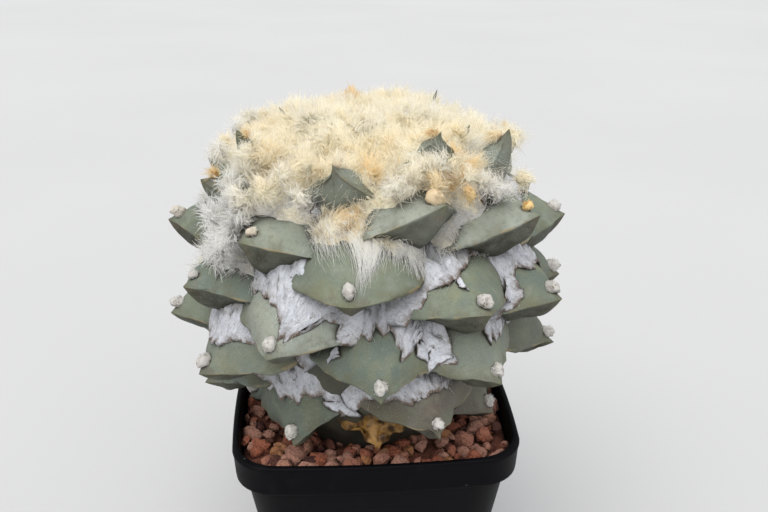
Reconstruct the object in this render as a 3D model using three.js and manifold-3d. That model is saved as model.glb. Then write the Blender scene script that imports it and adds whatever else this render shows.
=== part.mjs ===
// Potted ariocarpus: a tall-grown living-rock cactus in a square nursery pot.
//
// Units are millimetres and +Z is up. The origin is the middle of the pot's base, and -Y is the
// front. The plant is one body: a stem with its taproot, tubercles set on one golden-angle spiral,
// a woolly tuft near each tip, and old felt that clings to the tubercles' upper faces.

import * as THREE from 'three';
import { mergeVertices } from 'three/addons/utils/BufferGeometryUtils.js';
import Module from 'manifold-3d';

const wasm = await Module();
wasm.setup();

// Driving dimensions of the pot

const RIM_WIDTH = 90;
const POT_HEIGHT = 80;
const BASE_WIDTH = 62;
const WALL = 1.2;
const FLOOR = 1.6;
const LIP = 2;
const BAND_HEIGHT = 10;
const BAND_STEP = 2.4;
const BAND_FLARE = 0.8;
const RIM_CORNER = 13;
const BASE_CORNER = 10;
const SIDE_BOW = 1.2;
const DRAIN_HOLE_RADIUS = 3;
const DRAIN_HOLE_PITCH = 19;

// Driving dimensions of the mix and the gravel

const GAP = 0.3;
const MIX_TOP = 70.6;
const GRAVEL_TOP = 74.4;
const GRAIN_RADIUS = 3.1;
const GRAIN_PITCH = 7.2;
const GRAIN_SCATTER = 1.3;
const ROW_SHARE = 0.87;
const STEM_CLEARANCE = 27;
const CORNER_CLEARANCE = 53;

// Driving dimensions of the plant, with heights measured from the pot's rim

const STEM_PROFILE = [
  [-58, 0], [-57, 6], [-34, 17], [-12, 25], [0, 29], [15, 37], [38, 43], [60, 43], [73, 39], [81, 36],
  [86, 31], [89.5, 22], [91, 0],
];
const STEM_SIDES = 18;
const FIRST_AZIMUTH = 308;
const GOLDEN_ANGLE = 137.508;
const TOP_TIP_HEIGHT = 96;
const DROP_PER_TUBERCLE = 1.85;
const LEAN = 4;
const LAST_TUBERCLE = 54;
const YOUNGEST_TUBERCLE = -7;
const ABSENT_TUBERCLE = 39;
const LENGTH_VARIETY = 0.04;
const WIDTH_VARIETY = 0.05;
const YOUNG_HEIGHT = 95.5;
const YOUNG_REACH = 37;
const YOUNG_REACH_STEP = 3.6;
const YOUNG_SIZE = 0.9;
const YOUNG_SIZE_STEP = 0.06;

// How a tubercle changes with the height of its tip: reach from the axis, tilt, length, half width
const TIP_REACH = [
  [-8, 37], [0, 41], [4, 46], [12, 55], [25, 61], [40, 63.5], [58, 63], [72, 60], [85, 53], [95, 43],
];
const TILT = [[0, -25], [30, -22], [45, -6], [60, 2], [75, 15], [85, 32], [95, 55], [102, 72]];
const LENGTH = [[-8, 20], [5, 26], [20, 29], [70, 29], [88, 26], [98, 19]];
const HALF_WIDTH = [[-8, 13], [5, 18], [20, 20], [70, 20], [85, 17], [92, 14], [98, 9]];

// Where a tubercle of the photo stands off the spiral: degrees round, millimetres up and outward
const STRAYS = new Map([
  [-7, [15, 2.5, 0]], [-5, [24, 1, 2]], [-4, [-12, 2, 5]], [-3, [-32, 0, -4]], [-2, [43, 0, -3]],
  [-1, [-32, -1, 0]], [0, [-7, 2, 0]], [1, [0, -4.5, 0]], [2, [-11, 3.5, 0]], [3, [0, -9, -5]],
  [4, [-10, -9.5, -3]], [5, [5, 5, 0]], [7, [-6, 7, -1]], [8, [10, 4, -1]], [10, [4, 3, 0]],
  [11, [-2, -5, 0]], [12, [8, -11, -5]], [13, [4, 2, 0]], [15, [2, 3, 0]], [16, [1, -1, 0]],
  [18, [-1, -3, 0]], [20, [3, 1, -2]], [21, [2, 0, 0]],
  [23, [1, -2, 0]], [26, [-1, -4, 0]], [28, [-2, 0, 0]], [29, [2, -2, 0]], [31, [-6, -7, 0]],
  [33, [4, -1, 0]], [34, [-7, -2, 1]], [36, [-6, -1, 0]], [41, [5, -1, -1]], [42, [-2, 1, -1]],
  [44, [-1, -1, 0]], [47, [4, -1, 0]], [49, [5, -4, -2]], [52, [2, 4, -4]], [54, [5, -2, 0]],
]);
// Tubercles that point another way or are fuller near the tip: degrees raised, turned and rolled, fullness
const POSTURES = new Map([
  [0, [5, 0, 0, -1]], [2, [-8, 0, 0, -1]], [5, [5, -6, 0, -1.8]], [7, [15, 0, 0, -1.2]], [8, [0, 0, 0, -1]],
  [10, [0, 18, 0, 0.4]], [13, [0, 0, 0, 0.3]], [15, [0, 6, 0, 0.3]], [16, [0, 0, 0, -0.8]],
  [18, [-15, 0, 0, 1.6]], [23, [0, 0, 0, 0.7]], [26, [-13, 0, 0, 0.3]], [31, [0, 0, 0, -0.4]],
  [33, [0, 0, 0, -0.8]], [36, [0, 0, 0, 0]], [41, [0, 0, 0, -0.6]], [44, [0, 0, 0, -0.5]],
  [47, [-10, 16, 20, -0.4]],
]);
const YOUNG_FULLNESS = -1;
const LAST_NARROW_TUBERCLE = 6;
const FULLNESS_VARIETY = 0.5;
const FULLNESS_EFFECT = 0.3;

// Shape of a tubercle along its length, from tip 0 to root 1: half width, rise of the middle, depth of
// the keel, and droop of the two edges
const STATIONS = [0.08, 0.24, 0.46, 0.8];
const WIDTH_SHAPE = [[0, 0], [0.08, 0.1], [0.24, 0.35], [0.46, 0.74], [0.75, 0.97], [1, 1]];
const RISE_SHAPE = [[0, 0], [0.05, 0.06], [0.15, 0.2], [0.3, 0.4], [0.5, 0.64], [0.75, 0.87], [1, 1]];
const KEEL_SHAPE = [[0, 0], [0.05, 0.17], [0.15, 0.42], [0.3, 0.62], [0.5, 0.8], [0.75, 0.93], [1, 1]];
const DROOP_SHAPE = [[0, 0], [0.24, 0.08], [0.46, 0.14], [0.8, 0.16]];
const RISE_RATIO = 0.7;
const KEEL_RATIO = [[70, 0.78], [82, 0.6], [95, 0.5]];
const FACE_ROUNDNESS = 2.2;
const FACE_POINTS = [-1, -0.55, 0, 0.55, 1];

const AREOLE_SETBACK = 4;
const AREOLE_RADIUS = 2.2;
const AREOLE_FULL_WIDTH = 12;
const AREOLE_LIFT = 0.5;
const FIRST_FELTED = 16;
const FELT_THICKNESS = 1.1;
const FELT_ROOT = 1.4;
const FELT_COLUMNS = 5;
const FELT_ROWS = 1;
const FELT_END = 0.85;
const FELT_SPAN = 0.9;

// Driving dimensions of the crown wool, with heights measured from the pot's rim

const WOOL_PROFILE = [
  [77, 0], [77, 34], [80, 41], [83, 41], [86, 38], [89.4, 31.5], [92.8, 23], [94.8, 12], [95.5, 0],
];
const WOOL_SKIRT = 80;
const WOOL_SIDES = 16;
const WOOL_TUFTS = 48;
const TUFT_LENGTH = 7.5;
const TUFT_RADIUS = 5.4;
const TUFT_ROOT = 3;
const WOOL_WISPS = 8;
const WISP_LENGTH = 13;
const WISP_RADIUS = 3;
const WOOL_CLEARANCE = 0.35;
const LAST_DRIFTED_TUBERCLE = 10;
const DRIFT_START = 0.34;
const DRIFT_SPAN = 0.9;
const DRIFT_THIN = 1.6;
const DRIFT_THICK = 4.5;
const DRIFT_VARIETY = 0.3;
const DRIFT_ROWS = 2;

// Finishes

const finishes = {
  pot: new THREE.MeshStandardMaterial({ color: 0x17191b, roughness: 0.42, metalness: 0 }),
  mix: new THREE.MeshStandardMaterial({ color: 0x4a3a2e, roughness: 0.95, metalness: 0 }),
  gravel: new THREE.MeshStandardMaterial({ color: 0x8f5546, roughness: 0.9, metalness: 0 }),
  flesh: new THREE.MeshStandardMaterial({ color: 0x7d8c78, roughness: 0.6, metalness: 0 }),
  wool: new THREE.MeshStandardMaterial({ color: 0xe9d9a6, roughness: 1, metalness: 0 }),
};

// Numbers and places

const radians = THREE.MathUtils.degToRad;

/** A repeatable number from 0 to 1 for one draw of one numbered thing. */
function chance(index, draw) {
  const value = Math.sin(index * 12.9898 + draw * 78.233 + 3.7) * 43758.5453;
  return value - Math.floor(value);
}

/** The same draw from -1 to 1. */
function spread(index, draw) {
  return 2 * chance(index, draw) - 1;
}

/** The height of a line through the points of a table, held level past its ends. */
function along(table, x) {
  if (x <= table[0][0]) return table[0][1];
  for (let i = 1; i < table.length; i += 1) {
    const [x0, y0] = table[i - 1];
    const [x1, y1] = table[i];
    if (x <= x1) return y0 + ((y1 - y0) * (x - x0)) / (x1 - x0);
  }
  return table[table.length - 1][1];
}

// Solids from meshes, and meshes from solids

/** A closed three.js geometry as a solid that can be joined and cut. */
function solidOf(geometry) {
  const bare = geometry.clone();
  bare.deleteAttribute('normal');
  bare.deleteAttribute('uv');
  const merged = mergeVertices(bare, 1e-5);
  const mesh = new wasm.Mesh({
    numProp: 3,
    vertProperties: new Float32Array(merged.attributes.position.array),
    triVerts: new Uint32Array(merged.index.array),
  });
  return new wasm.Manifold(mesh);
}

/** A named mesh of a solid. */
function meshOf(name, solid, material) {
  const { vertProperties, triVerts } = solid.getMesh();
  const geometry = new THREE.BufferGeometry();
  geometry.setAttribute('position', new THREE.BufferAttribute(new Float32Array(vertProperties), 3));
  geometry.setIndex(new THREE.BufferAttribute(new Uint32Array(triVerts), 1));
  geometry.computeVertexNormals();
  const mesh = new THREE.Mesh(geometry, material);
  mesh.name = name;
  return mesh;
}

/** All solids joined in one. */
function joined(solids) {
  let parts = solids;
  while (parts.length > 1) {
    const pairs = [];
    for (let i = 0; i < parts.length; i += 2) {
      pairs.push(i + 1 < parts.length ? parts[i].add(parts[i + 1]) : parts[i]);
    }
    parts = pairs;
  }
  return parts[0];
}

/** The largest body of a solid: loose scraps are left out, and a hollow sealed inside it is filled. */
function largest(solid) {
  const bodies = solid.decompose();
  bodies.sort((a, b) => b.volume() - a.volume());
  return bodies[0];
}

/** A closed body through rings with the same number of points, with a point at either end. */
function loft(start, rings, end) {
  const count = rings[0].length;
  const points = [start, ...rings.flat(), end];
  const index = [];
  const at = (ring, i) => 1 + ring * count + (i % count);
  for (let i = 0; i < count; i += 1) {
    index.push(0, at(0, i + 1), at(0, i));
    for (let ring = 0; ring + 1 < rings.length; ring += 1) {
      index.push(at(ring, i), at(ring, i + 1), at(ring + 1, i + 1));
      index.push(at(ring, i), at(ring + 1, i + 1), at(ring + 1, i));
    }
    index.push(points.length - 1, at(rings.length - 1, i), at(rings.length - 1, i + 1));
  }
  const geometry = new THREE.BufferGeometry();
  geometry.setFromPoints(points);
  geometry.setIndex(index);
  return geometry;
}

/** A body of revolution about the Z axis from [height, radius] points, grown outward by a margin. */
function turned(profile, sides, margin = 0) {
  const points = profile.map(([height, radius], i) => {
    const end = i === 0 ? -margin : i === profile.length - 1 ? margin : 0;
    return new THREE.Vector2(radius > 0 ? radius + margin : 0, height + end);
  });
  return new THREE.LatheGeometry(points, sides).rotateX(Math.PI / 2).translate(0, 0, POT_HEIGHT);
}

// The pot, the mix and the gravel bed, which all follow one rounded square

const CORNER_STEPS = 3;
const CHIP_SIDE = 1.35;

/** A ring of points: a square of a half width, with round corners and sides bowed a little. */
function squareRing(half, corner, height) {
  const points = [];
  const flat = half - corner;
  for (let side = 0; side < 4; side += 1) {
    const turn = (side * Math.PI) / 2;
    const place = (x, y) => {
      points.push(new THREE.Vector3(
        x * Math.cos(turn) - y * Math.sin(turn),
        x * Math.sin(turn) + y * Math.cos(turn),
        height,
      ));
    };
    place(half, 0);
    place(half - SIDE_BOW / 4, flat / 2);
    for (let step = 0; step <= CORNER_STEPS; step += 1) {
      const angle = (step / CORNER_STEPS) * (Math.PI / 2);
      place(flat - SIDE_BOW + corner * Math.cos(angle), flat - SIDE_BOW + corner * Math.sin(angle));
    }
    place(flat / 2, half - SIDE_BOW / 4);
  }
  return points;
}

const bandBottom = POT_HEIGHT - BAND_HEIGHT;
const wallTopHalf = RIM_WIDTH / 2 - BAND_FLARE - BAND_STEP;

/** Half the pot's outer width on the tapering wall. */
function wallHalf(height) {
  return THREE.MathUtils.lerp(BASE_WIDTH / 2, wallTopHalf, height / bandBottom);
}

/** The corner radius at a height. */
function cornerAt(height) {
  return THREE.MathUtils.lerp(BASE_CORNER, RIM_CORNER, height / POT_HEIGHT);
}

/** Half the width of the pot's inside at a height. */
function insideHalf(height) {
  if (height < bandBottom) return wallHalf(height) - WALL;
  const share = (height - bandBottom) / BAND_HEIGHT;
  return RIM_WIDTH / 2 - LIP - BAND_FLARE * (1 - share);
}

function buildPot() {
  const chamfer = 1.2;
  const half = RIM_WIDTH / 2;
  const profile = [
    [BASE_WIDTH / 2 - chamfer, 0],
    [wallHalf(chamfer), chamfer],
    [wallTopHalf, bandBottom - 1.4],
    [half - BAND_FLARE, bandBottom],
    [half - 0.25, POT_HEIGHT - 1.6],
    [half, POT_HEIGHT - 0.7],
    [half - 0.6, POT_HEIGHT],
    [half - LIP + 0.5, POT_HEIGHT],
    [insideHalf(POT_HEIGHT - 0.6), POT_HEIGHT - 0.6],
    [insideHalf(bandBottom), bandBottom + 0.4],
    [insideHalf(bandBottom - 1), bandBottom - 1],
    [insideHalf(FLOOR), FLOOR],
  ];
  const rings = profile.map(([width, height]) => squareRing(width, cornerAt(height), height));
  const shell = loft(new THREE.Vector3(0, 0, 0), rings, new THREE.Vector3(0, 0, FLOOR));
  const places = [-1, 0, 1].flatMap((x) => [-1, 0, 1].map((y) => [x, y])).filter(([x, y]) => x || y);
  const holes = places.map(([x, y]) => {
    const hole = new THREE.CylinderGeometry(DRAIN_HOLE_RADIUS, DRAIN_HOLE_RADIUS, 4 * FLOOR, 8);
    return solidOf(hole.rotateX(Math.PI / 2).translate(x * DRAIN_HOLE_PITCH, y * DRAIN_HOLE_PITCH, 0));
  });
  return solidOf(shell).subtract(joined(holes));
}

/** A filling that keeps a small gap to the pot's inside, through the given heights. */
function filling(heights) {
  const rings = heights.map((height) => squareRing(insideHalf(height) - GAP, cornerAt(height), height));
  const bottom = new THREE.Vector3(0, 0, heights[0]);
  const top = new THREE.Vector3(0, 0, heights[heights.length - 1]);
  return solidOf(loft(bottom, rings, top));
}

/** One angular chip: a box with its corners pushed about, stretched and turned. */
function chip(number, radius, centre) {
  const side = CHIP_SIDE * radius;
  const shape = new THREE.BoxGeometry(side, side, side);
  shape.deleteAttribute('normal');
  shape.deleteAttribute('uv');
  const geometry = mergeVertices(shape);
  const position = geometry.attributes.position;
  for (let i = 0; i < position.count; i += 1) {
    const swell = 1 + 0.2 * spread(number, i);
    position.setXYZ(i, position.getX(i) * swell, position.getY(i) * swell, position.getZ(i) * swell);
  }
  geometry.scale(1 + 0.2 * spread(number, 20), 1 + 0.2 * spread(number, 21), 0.85);
  geometry.rotateX(0.6 * spread(number, 22));
  geometry.rotateZ(6.3 * chance(number, 23));
  return solidOf(geometry.translate(centre.x, centre.y, centre.z));
}

function buildGravel(grownCactus) {
  const bed = filling([MIX_TOP + GAP, GRAVEL_TOP]);
  const grains = [];
  const rows = Math.ceil(RIM_WIDTH / GRAIN_PITCH);
  for (let row = -rows; row <= rows; row += 1) {
    for (let column = -rows; column <= rows; column += 1) {
      const number = (row + rows) * 40 + column + rows;
      const x = (column + (row % 2) / 2) * GRAIN_PITCH + spread(number, 1) * GRAIN_SCATTER;
      const y = row * GRAIN_PITCH * ROW_SHARE + spread(number, 2) * GRAIN_SCATTER;
      const inside = Math.max(Math.abs(x), Math.abs(y)) < RIM_WIDTH / 2 - LIP - 0.6 * GRAIN_RADIUS;
      const reach = Math.hypot(x, y);
      if (!inside || reach < STEM_CLEARANCE || reach > CORNER_CLEARANCE) continue;
      const radius = GRAIN_RADIUS * (1 + 0.22 * spread(number, 3));
      const height = GRAVEL_TOP + 0.3 + 0.9 * spread(number, 4);
      grains.push(chip(number, radius, new THREE.Vector3(x, y, height)));
    }
  }
  const heap = joined([bed, ...grains]).intersect(filling([MIX_TOP + GAP, bandBottom + 2, POT_HEIGHT + 5]));
  return largest(heap.subtract(grownCactus));
}

// The plant

/** Place and size of one tubercle of the spiral, with the directions of its length, width and rise. */
function placeTubercle(number) {
  const [strayTurn, strayUp, strayOut] = STRAYS.get(number) ?? [0, 0, 0];
  const azimuth = radians(FIRST_AZIMUTH - GOLDEN_ANGLE * number + strayTurn);
  const young = number < 0;
  const lift = young ? YOUNG_HEIGHT : TOP_TIP_HEIGHT - DROP_PER_TUBERCLE * number;
  const height = lift + (young ? 0 : LEAN * Math.sin(azimuth)) + strayUp;
  const reach = (young ? YOUNG_REACH + YOUNG_REACH_STEP * number : along(TIP_REACH, height)) + strayOut;
  const shape = number <= LAST_NARROW_TUBERCLE ? YOUNG_FULLNESS : FULLNESS_VARIETY * chance(number, 6);
  const [nod, twist, roll, fullness] = POSTURES.get(number) ?? [0, 0, 0, shape];
  const tilt = radians(along(TILT, height) + nod);
  const facing = azimuth + radians(twist);
  const place = new THREE.Vector3(Math.sin(azimuth), -Math.cos(azimuth), 0);
  const outward = new THREE.Vector3(Math.sin(facing), -Math.cos(facing), 0);
  const up = new THREE.Vector3(0, 0, 1);
  const axis = outward.clone().multiplyScalar(Math.cos(tilt)).addScaledVector(up, Math.sin(tilt));
  const rise = outward.clone().multiplyScalar(-Math.sin(tilt)).addScaledVector(up, Math.cos(tilt));
  const side = new THREE.Vector3(Math.cos(facing), Math.sin(facing), 0);
  side.applyAxisAngle(axis, radians(roll));
  rise.applyAxisAngle(axis, radians(roll));
  const size = young ? YOUNG_SIZE + YOUNG_SIZE_STEP * number : 1;
  const halfWidth = along(HALF_WIDTH, height) * size * (1 + WIDTH_VARIETY * spread(number, 2));
  return {
    number,
    tip: place.multiplyScalar(reach).setZ(POT_HEIGHT + height),
    axis,
    rise,
    side,
    length: along(LENGTH, height) * (1 + LENGTH_VARIETY * spread(number, 1)),
    halfWidth,
    keelDepth: halfWidth * along(KEEL_RATIO, height),
    widthPower: 1 - FULLNESS_EFFECT * fullness,
  };
}

/** A point on a tubercle's upper face, from tip 0 to root 1 and across from -1 to 1. */
function facePoint(tubercle, station, across, margin = 0) {
  const halfWidth = tubercle.halfWidth * along(WIDTH_SHAPE, station) ** tubercle.widthPower + 1.5 * margin;
  const middle = tubercle.halfWidth * RISE_RATIO * along(RISE_SHAPE, station);
  const droop = tubercle.halfWidth * along(DROOP_SHAPE, station);
  const fall = Math.abs(across) ** FACE_ROUNDNESS;
  const rise = middle * (1 - fall) - droop * fall;
  return tubercle.tip.clone()
    .addScaledVector(tubercle.axis, -station * tubercle.length)
    .addScaledVector(tubercle.side, across * halfWidth)
    .addScaledVector(tubercle.rise, rise + (Math.abs(across) < 1 ? margin : 0));
}

/** A point on the keel under a tubercle. */
function keelPoint(tubercle, station, margin) {
  const depth = tubercle.keelDepth * along(KEEL_SHAPE, station);
  return tubercle.tip.clone()
    .addScaledVector(tubercle.axis, -station * tubercle.length)
    .addScaledVector(tubercle.rise, -depth - 1.5 * margin);
}

function tubercleSolid(tubercle, margin) {
  const rings = STATIONS.map((station) => [
    ...FACE_POINTS.map((across) => facePoint(tubercle, station, across, margin)),
    keelPoint(tubercle, station, margin),
  ]);
  const start = tubercle.tip.clone().addScaledVector(tubercle.axis, margin);
  const end = tubercle.tip.clone().addScaledVector(tubercle.axis, -0.9 * tubercle.length - margin);
  return solidOf(loft(start, rings, end));
}

function areoleSolid(tubercle, margin) {
  const centre = facePoint(tubercle, AREOLE_SETBACK / tubercle.length, 0);
  const size = AREOLE_RADIUS * Math.min(1, tubercle.halfWidth / AREOLE_FULL_WIDTH) + margin;
  return chip(900 + tubercle.number, size, centre.addScaledVector(tubercle.rise, AREOLE_LIFT));
}

/** Where the felt on a tubercle ends towards the tip: a ragged line across the face. */
function feltEdge(tubercle, column) {
  const middle = (FELT_COLUMNS - 1) / 2;
  const fromMiddle = Math.abs(column - middle) / middle;
  return 0.5 + 0.16 * spread(tubercle.number, 40 + column) - 0.1 * fromMiddle;
}

function feltSolid(tubercle, margin) {
  const top = [];
  const bottom = [];
  for (let row = 0; row <= FELT_ROWS; row += 1) {
    for (let column = 0; column < FELT_COLUMNS; column += 1) {
      const span = FELT_SPAN + (2 * margin) / tubercle.halfWidth;
      const across = span * (-1 + (2 * column) / (FELT_COLUMNS - 1));
      const edge = feltEdge(tubercle, column) - margin / tubercle.length;
      const station = THREE.MathUtils.lerp(edge, FELT_END + margin / tubercle.length, row / FELT_ROWS);
      const puff = FELT_THICKNESS * (0.8 + 0.5 * chance(tubercle.number, 60 + row * 10 + column));
      const point = facePoint(tubercle, station, across);
      top.push(point.clone().addScaledVector(tubercle.rise, puff + margin));
      bottom.push(point.clone().addScaledVector(tubercle.rise, -FELT_ROOT));
    }
  }
  return solidOf(slab(top, bottom, FELT_COLUMNS));
}

/** A closed plate between two grids of points, both listed row by row. */
function slab(top, bottom, columns) {
  const rows = top.length / columns;
  const index = [];
  const offset = top.length;
  const quad = (a, b, c, d) => index.push(a, b, c, a, c, d);
  for (let row = 0; row + 1 < rows; row += 1) {
    for (let column = 0; column + 1 < columns; column += 1) {
      const corner = row * columns + column;
      quad(corner, corner + 1, corner + columns + 1, corner + columns);
      quad(offset + corner, offset + corner + columns, offset + corner + columns + 1, offset + corner + 1);
    }
  }
  const edge = [];
  for (let column = 0; column < columns; column += 1) edge.push(column);
  for (let row = 1; row < rows; row += 1) edge.push(row * columns + columns - 1);
  for (let column = columns - 2; column >= 0; column -= 1) edge.push((rows - 1) * columns + column);
  for (let row = rows - 2; row > 0; row -= 1) edge.push(row * columns);
  edge.forEach((point, i) => {
    const next = edge[(i + 1) % edge.length];
    quad(next, point, offset + point, offset + next);
  });
  const geometry = new THREE.BufferGeometry();
  geometry.setFromPoints([...top, ...bottom]);
  geometry.setIndex(index);
  return geometry;
}

function allTubercles() {
  const tubercles = [];
  for (let number = YOUNGEST_TUBERCLE; number <= LAST_TUBERCLE; number += 1) {
    if (number !== ABSENT_TUBERCLE) tubercles.push(placeTubercle(number));
  }
  return tubercles;
}

/** The whole plant, or the plant grown outward by a margin for cutting its neighbours. */
function buildCactus(margin = 0) {
  const tubercles = allTubercles();
  const tufted = tubercles.filter((tubercle) => tubercle.number >= 0);
  const felted = tubercles.filter((tubercle) => tubercle.number >= FIRST_FELTED);
  return largest(joined([
    solidOf(turned(STEM_PROFILE, STEM_SIDES, margin)),
    ...tubercles.map((tubercle) => tubercleSolid(tubercle, margin)),
    ...tufted.map((tubercle) => areoleSolid(tubercle, margin)),
    ...felted.map((tubercle) => feltSolid(tubercle, margin)),
  ]));
}

// The crown wool

/** A three-sided spike from a root along a direction. */
function spike(root, direction, length, radius) {
  const geometry = new THREE.ConeGeometry(radius, length, 3).translate(0, length / 2, 0);
  const turn = new THREE.Quaternion().setFromUnitVectors(new THREE.Vector3(0, 1, 0), direction);
  return solidOf(geometry.applyQuaternion(turn).translate(root.x, root.y, root.z));
}

/** A place on the wool's core, where angle 0 is the front, with the outward direction there. */
function woolPlace(angle, share) {
  const outer = WOOL_PROFILE.filter(([height]) => height >= WOOL_SKIRT);
  const along01 = (1 - share) * (outer.length - 1);
  const first = Math.min(Math.floor(along01), outer.length - 2);
  const [height0, radius0] = outer[first];
  const [height1, radius1] = outer[first + 1];
  const part = along01 - first;
  const radius = THREE.MathUtils.lerp(radius0, radius1, part);
  const height = THREE.MathUtils.lerp(height0, height1, part);
  const slope = Math.atan2(radius0 - radius1, height1 - height0);
  const round = new THREE.Vector3(Math.sin(angle), -Math.cos(angle), 0);
  const place = round.clone().multiplyScalar(radius).setZ(POT_HEIGHT + height);
  const outward = round.multiplyScalar(Math.cos(slope)).setZ(Math.sin(slope));
  return { place, outward };
}

/** Wool that lies over a young tubercle's face, from behind its areole to the root, where it is thickest. */
function driftSolid(tubercle) {
  const top = [];
  const bottom = [];
  for (let row = 0; row <= DRIFT_ROWS; row += 1) {
    const share = row / DRIFT_ROWS;
    for (let column = 0; column < FELT_COLUMNS; column += 1) {
      const across = DRIFT_SPAN * (-1 + (2 * column) / (FELT_COLUMNS - 1));
      const point = facePoint(tubercle, THREE.MathUtils.lerp(DRIFT_START, 1, share), across);
      const swell = 1 + DRIFT_VARIETY * spread(tubercle.number, column);
      const depth = THREE.MathUtils.lerp(DRIFT_THIN, DRIFT_THICK, share) * swell;
      top.push(point.clone().addScaledVector(tubercle.rise, depth));
      bottom.push(point.clone().addScaledVector(tubercle.rise, -FELT_ROOT));
    }
  }
  return solidOf(slab(top, bottom, FELT_COLUMNS));
}

function buildWool(grownCactus) {
  const drifted = allTubercles().filter(({ number }) => number >= 0 && number <= LAST_DRIFTED_TUBERCLE);
  const parts = [solidOf(turned(WOOL_PROFILE, WOOL_SIDES)), ...drifted.map(driftSolid)];
  for (let i = 0; i < WOOL_TUFTS; i += 1) {
    const share = Math.sqrt((i + 0.5) / WOOL_TUFTS);
    const { place, outward } = woolPlace(radians(GOLDEN_ANGLE * i), share);
    const sway = new THREE.Vector3(spread(i, 1), spread(i, 2), 0.6 * spread(i, 3)).multiplyScalar(0.55);
    const direction = outward.clone().add(sway).normalize();
    const root = place.addScaledVector(outward, -TUFT_ROOT);
    parts.push(spike(root, direction, TUFT_ROOT + TUFT_LENGTH * (0.5 + 0.5 * chance(i, 4)), TUFT_RADIUS));
  }
  for (let i = 0; i < WOOL_WISPS; i += 1) {
    const { place, outward } = woolPlace(radians(GOLDEN_ANGLE * i + 20), 0.97);
    const sway = new THREE.Vector3(0.4 * spread(i, 6), 0.4 * spread(i, 7), -0.5 + 0.4 * spread(i, 8));
    const direction = outward.clone().add(sway).normalize();
    parts.push(spike(place, direction, WISP_LENGTH * (0.7 + 0.3 * chance(i, 9)), WISP_RADIUS));
  }
  return largest(joined(parts).subtract(grownCactus));
}

// Assembly

const cactus = buildCactus();
const grownCactus = buildCactus(WOOL_CLEARANCE);
const mix = filling([FLOOR + GAP, bandBottom - 1.2, MIX_TOP]).subtract(grownCactus);

const plant = new THREE.Group();
plant.name = 'potted_ariocarpus';
plant.add(meshOf('pot', buildPot(), finishes.pot));
plant.add(meshOf('potting_mix', mix, finishes.mix));
plant.add(meshOf('lava_gravel', buildGravel(grownCactus), finishes.gravel));
plant.add(meshOf('cactus', cactus, finishes.flesh));
plant.add(meshOf('crown_wool', buildWool(grownCactus), finishes.wool));

export default plant;
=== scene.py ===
"""A potted ariocarpus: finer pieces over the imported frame.

Shapes are worked out with z up from the pot's base and the front at -y, and are put into the meshes in
metres. Lengths are in mm where nothing else is said, and angles in radians. Heights on the plant are
measured from the pot's rim.
"""
from __future__ import annotations

import logging
import math
import sys
from dataclasses import dataclass
from enum import Enum
from typing import Iterable, Optional, Sequence, Union

import bmesh
import bpy
import numpy as np
from mathutils.geometry import tessellate_polygon
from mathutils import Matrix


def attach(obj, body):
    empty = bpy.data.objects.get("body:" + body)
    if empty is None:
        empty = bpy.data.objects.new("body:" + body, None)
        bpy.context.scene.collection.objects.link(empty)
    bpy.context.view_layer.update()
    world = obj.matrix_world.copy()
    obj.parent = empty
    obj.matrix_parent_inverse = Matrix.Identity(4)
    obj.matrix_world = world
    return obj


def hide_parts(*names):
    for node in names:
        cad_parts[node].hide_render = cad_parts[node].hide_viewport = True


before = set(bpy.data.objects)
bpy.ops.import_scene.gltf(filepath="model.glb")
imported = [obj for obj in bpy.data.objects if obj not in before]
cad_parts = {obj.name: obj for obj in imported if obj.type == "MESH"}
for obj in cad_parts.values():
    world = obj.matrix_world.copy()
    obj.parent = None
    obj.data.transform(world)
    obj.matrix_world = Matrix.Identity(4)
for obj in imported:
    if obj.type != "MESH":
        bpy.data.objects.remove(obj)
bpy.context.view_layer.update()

MM = 0.001
GOLDEN_ANGLE = 137.508
GOLDEN_SHARE = 0.618034
RIM_HEIGHT = 80.0
SAME_POINT = 0.002
LEAST_EDGE = 0.001
UP = np.array([0.0, 0.0, 1.0])

Array = np.ndarray
Colour = tuple[float, float, float]
Numbers = Union[float, Array]
Table = Sequence[Sequence[float]]
Tables = dict[int, Table]
Draws = np.random.Generator
Material = bpy.types.Material
Socket = bpy.types.NodeSocket
LOG = logging.getLogger("potted_ariocarpus")


# Numbers, curves and smooth bumps

def chance(index: Numbers, draw: Numbers) -> Numbers:
    """A fixed draw from 0 to 1: the fraction of a large sine of both numbers."""
    value = np.sin(index * 12.9898 + draw * 78.233 + 3.7) * 43758.5453
    return value - np.floor(value)


def spread(index: Numbers, draw: Numbers) -> Numbers:
    """A fixed draw from -1 to 1."""
    return 2 * chance(index, draw) - 1


def follow(table: Table, x: Numbers) -> Array:
    """A smooth curve through a table's points that never overshoots them, level past its ends.

    The formula is a cubic between neighbours whose slope at a point is the harmonic mean of the slopes on
    both sides, or zero where they differ in sign.

    Args:
        table: Pairs of x and y, in order of x.
        x: Where the curve is wanted.

    Returns:
        The curve's values.
    """
    xs, ys = np.array(table, float).T
    secant = np.diff(ys) / np.diff(xs)
    slope = np.concatenate([secant[:1], np.zeros(len(xs) - 2), secant[-1:]])
    product = secant[:-1] * secant[1:]
    total = np.where(product > 0, secant[:-1] + secant[1:], 1.0)
    slope[1:-1] = np.where(product > 0, 2 * product / total, 0.0)
    x = np.clip(np.asarray(x, float), xs[0], xs[-1])
    i = np.clip(np.searchsorted(xs, x, side="right") - 1, 0, len(xs) - 2)
    width = xs[i + 1] - xs[i]
    t = (x - xs[i]) / width
    return (ys[i] * (1 + 2 * t) * (1 - t) ** 2 + slope[i] * width * t * (1 - t) ** 2
            + ys[i + 1] * t ** 2 * (3 - 2 * t) + slope[i + 1] * width * t ** 2 * (t - 1))


def linear(table: Table, x: float) -> float:
    """The straight-line curve through a table's points, level past its ends."""
    xs, ys = zip(*table)
    return float(np.interp(x, xs, ys))


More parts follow.
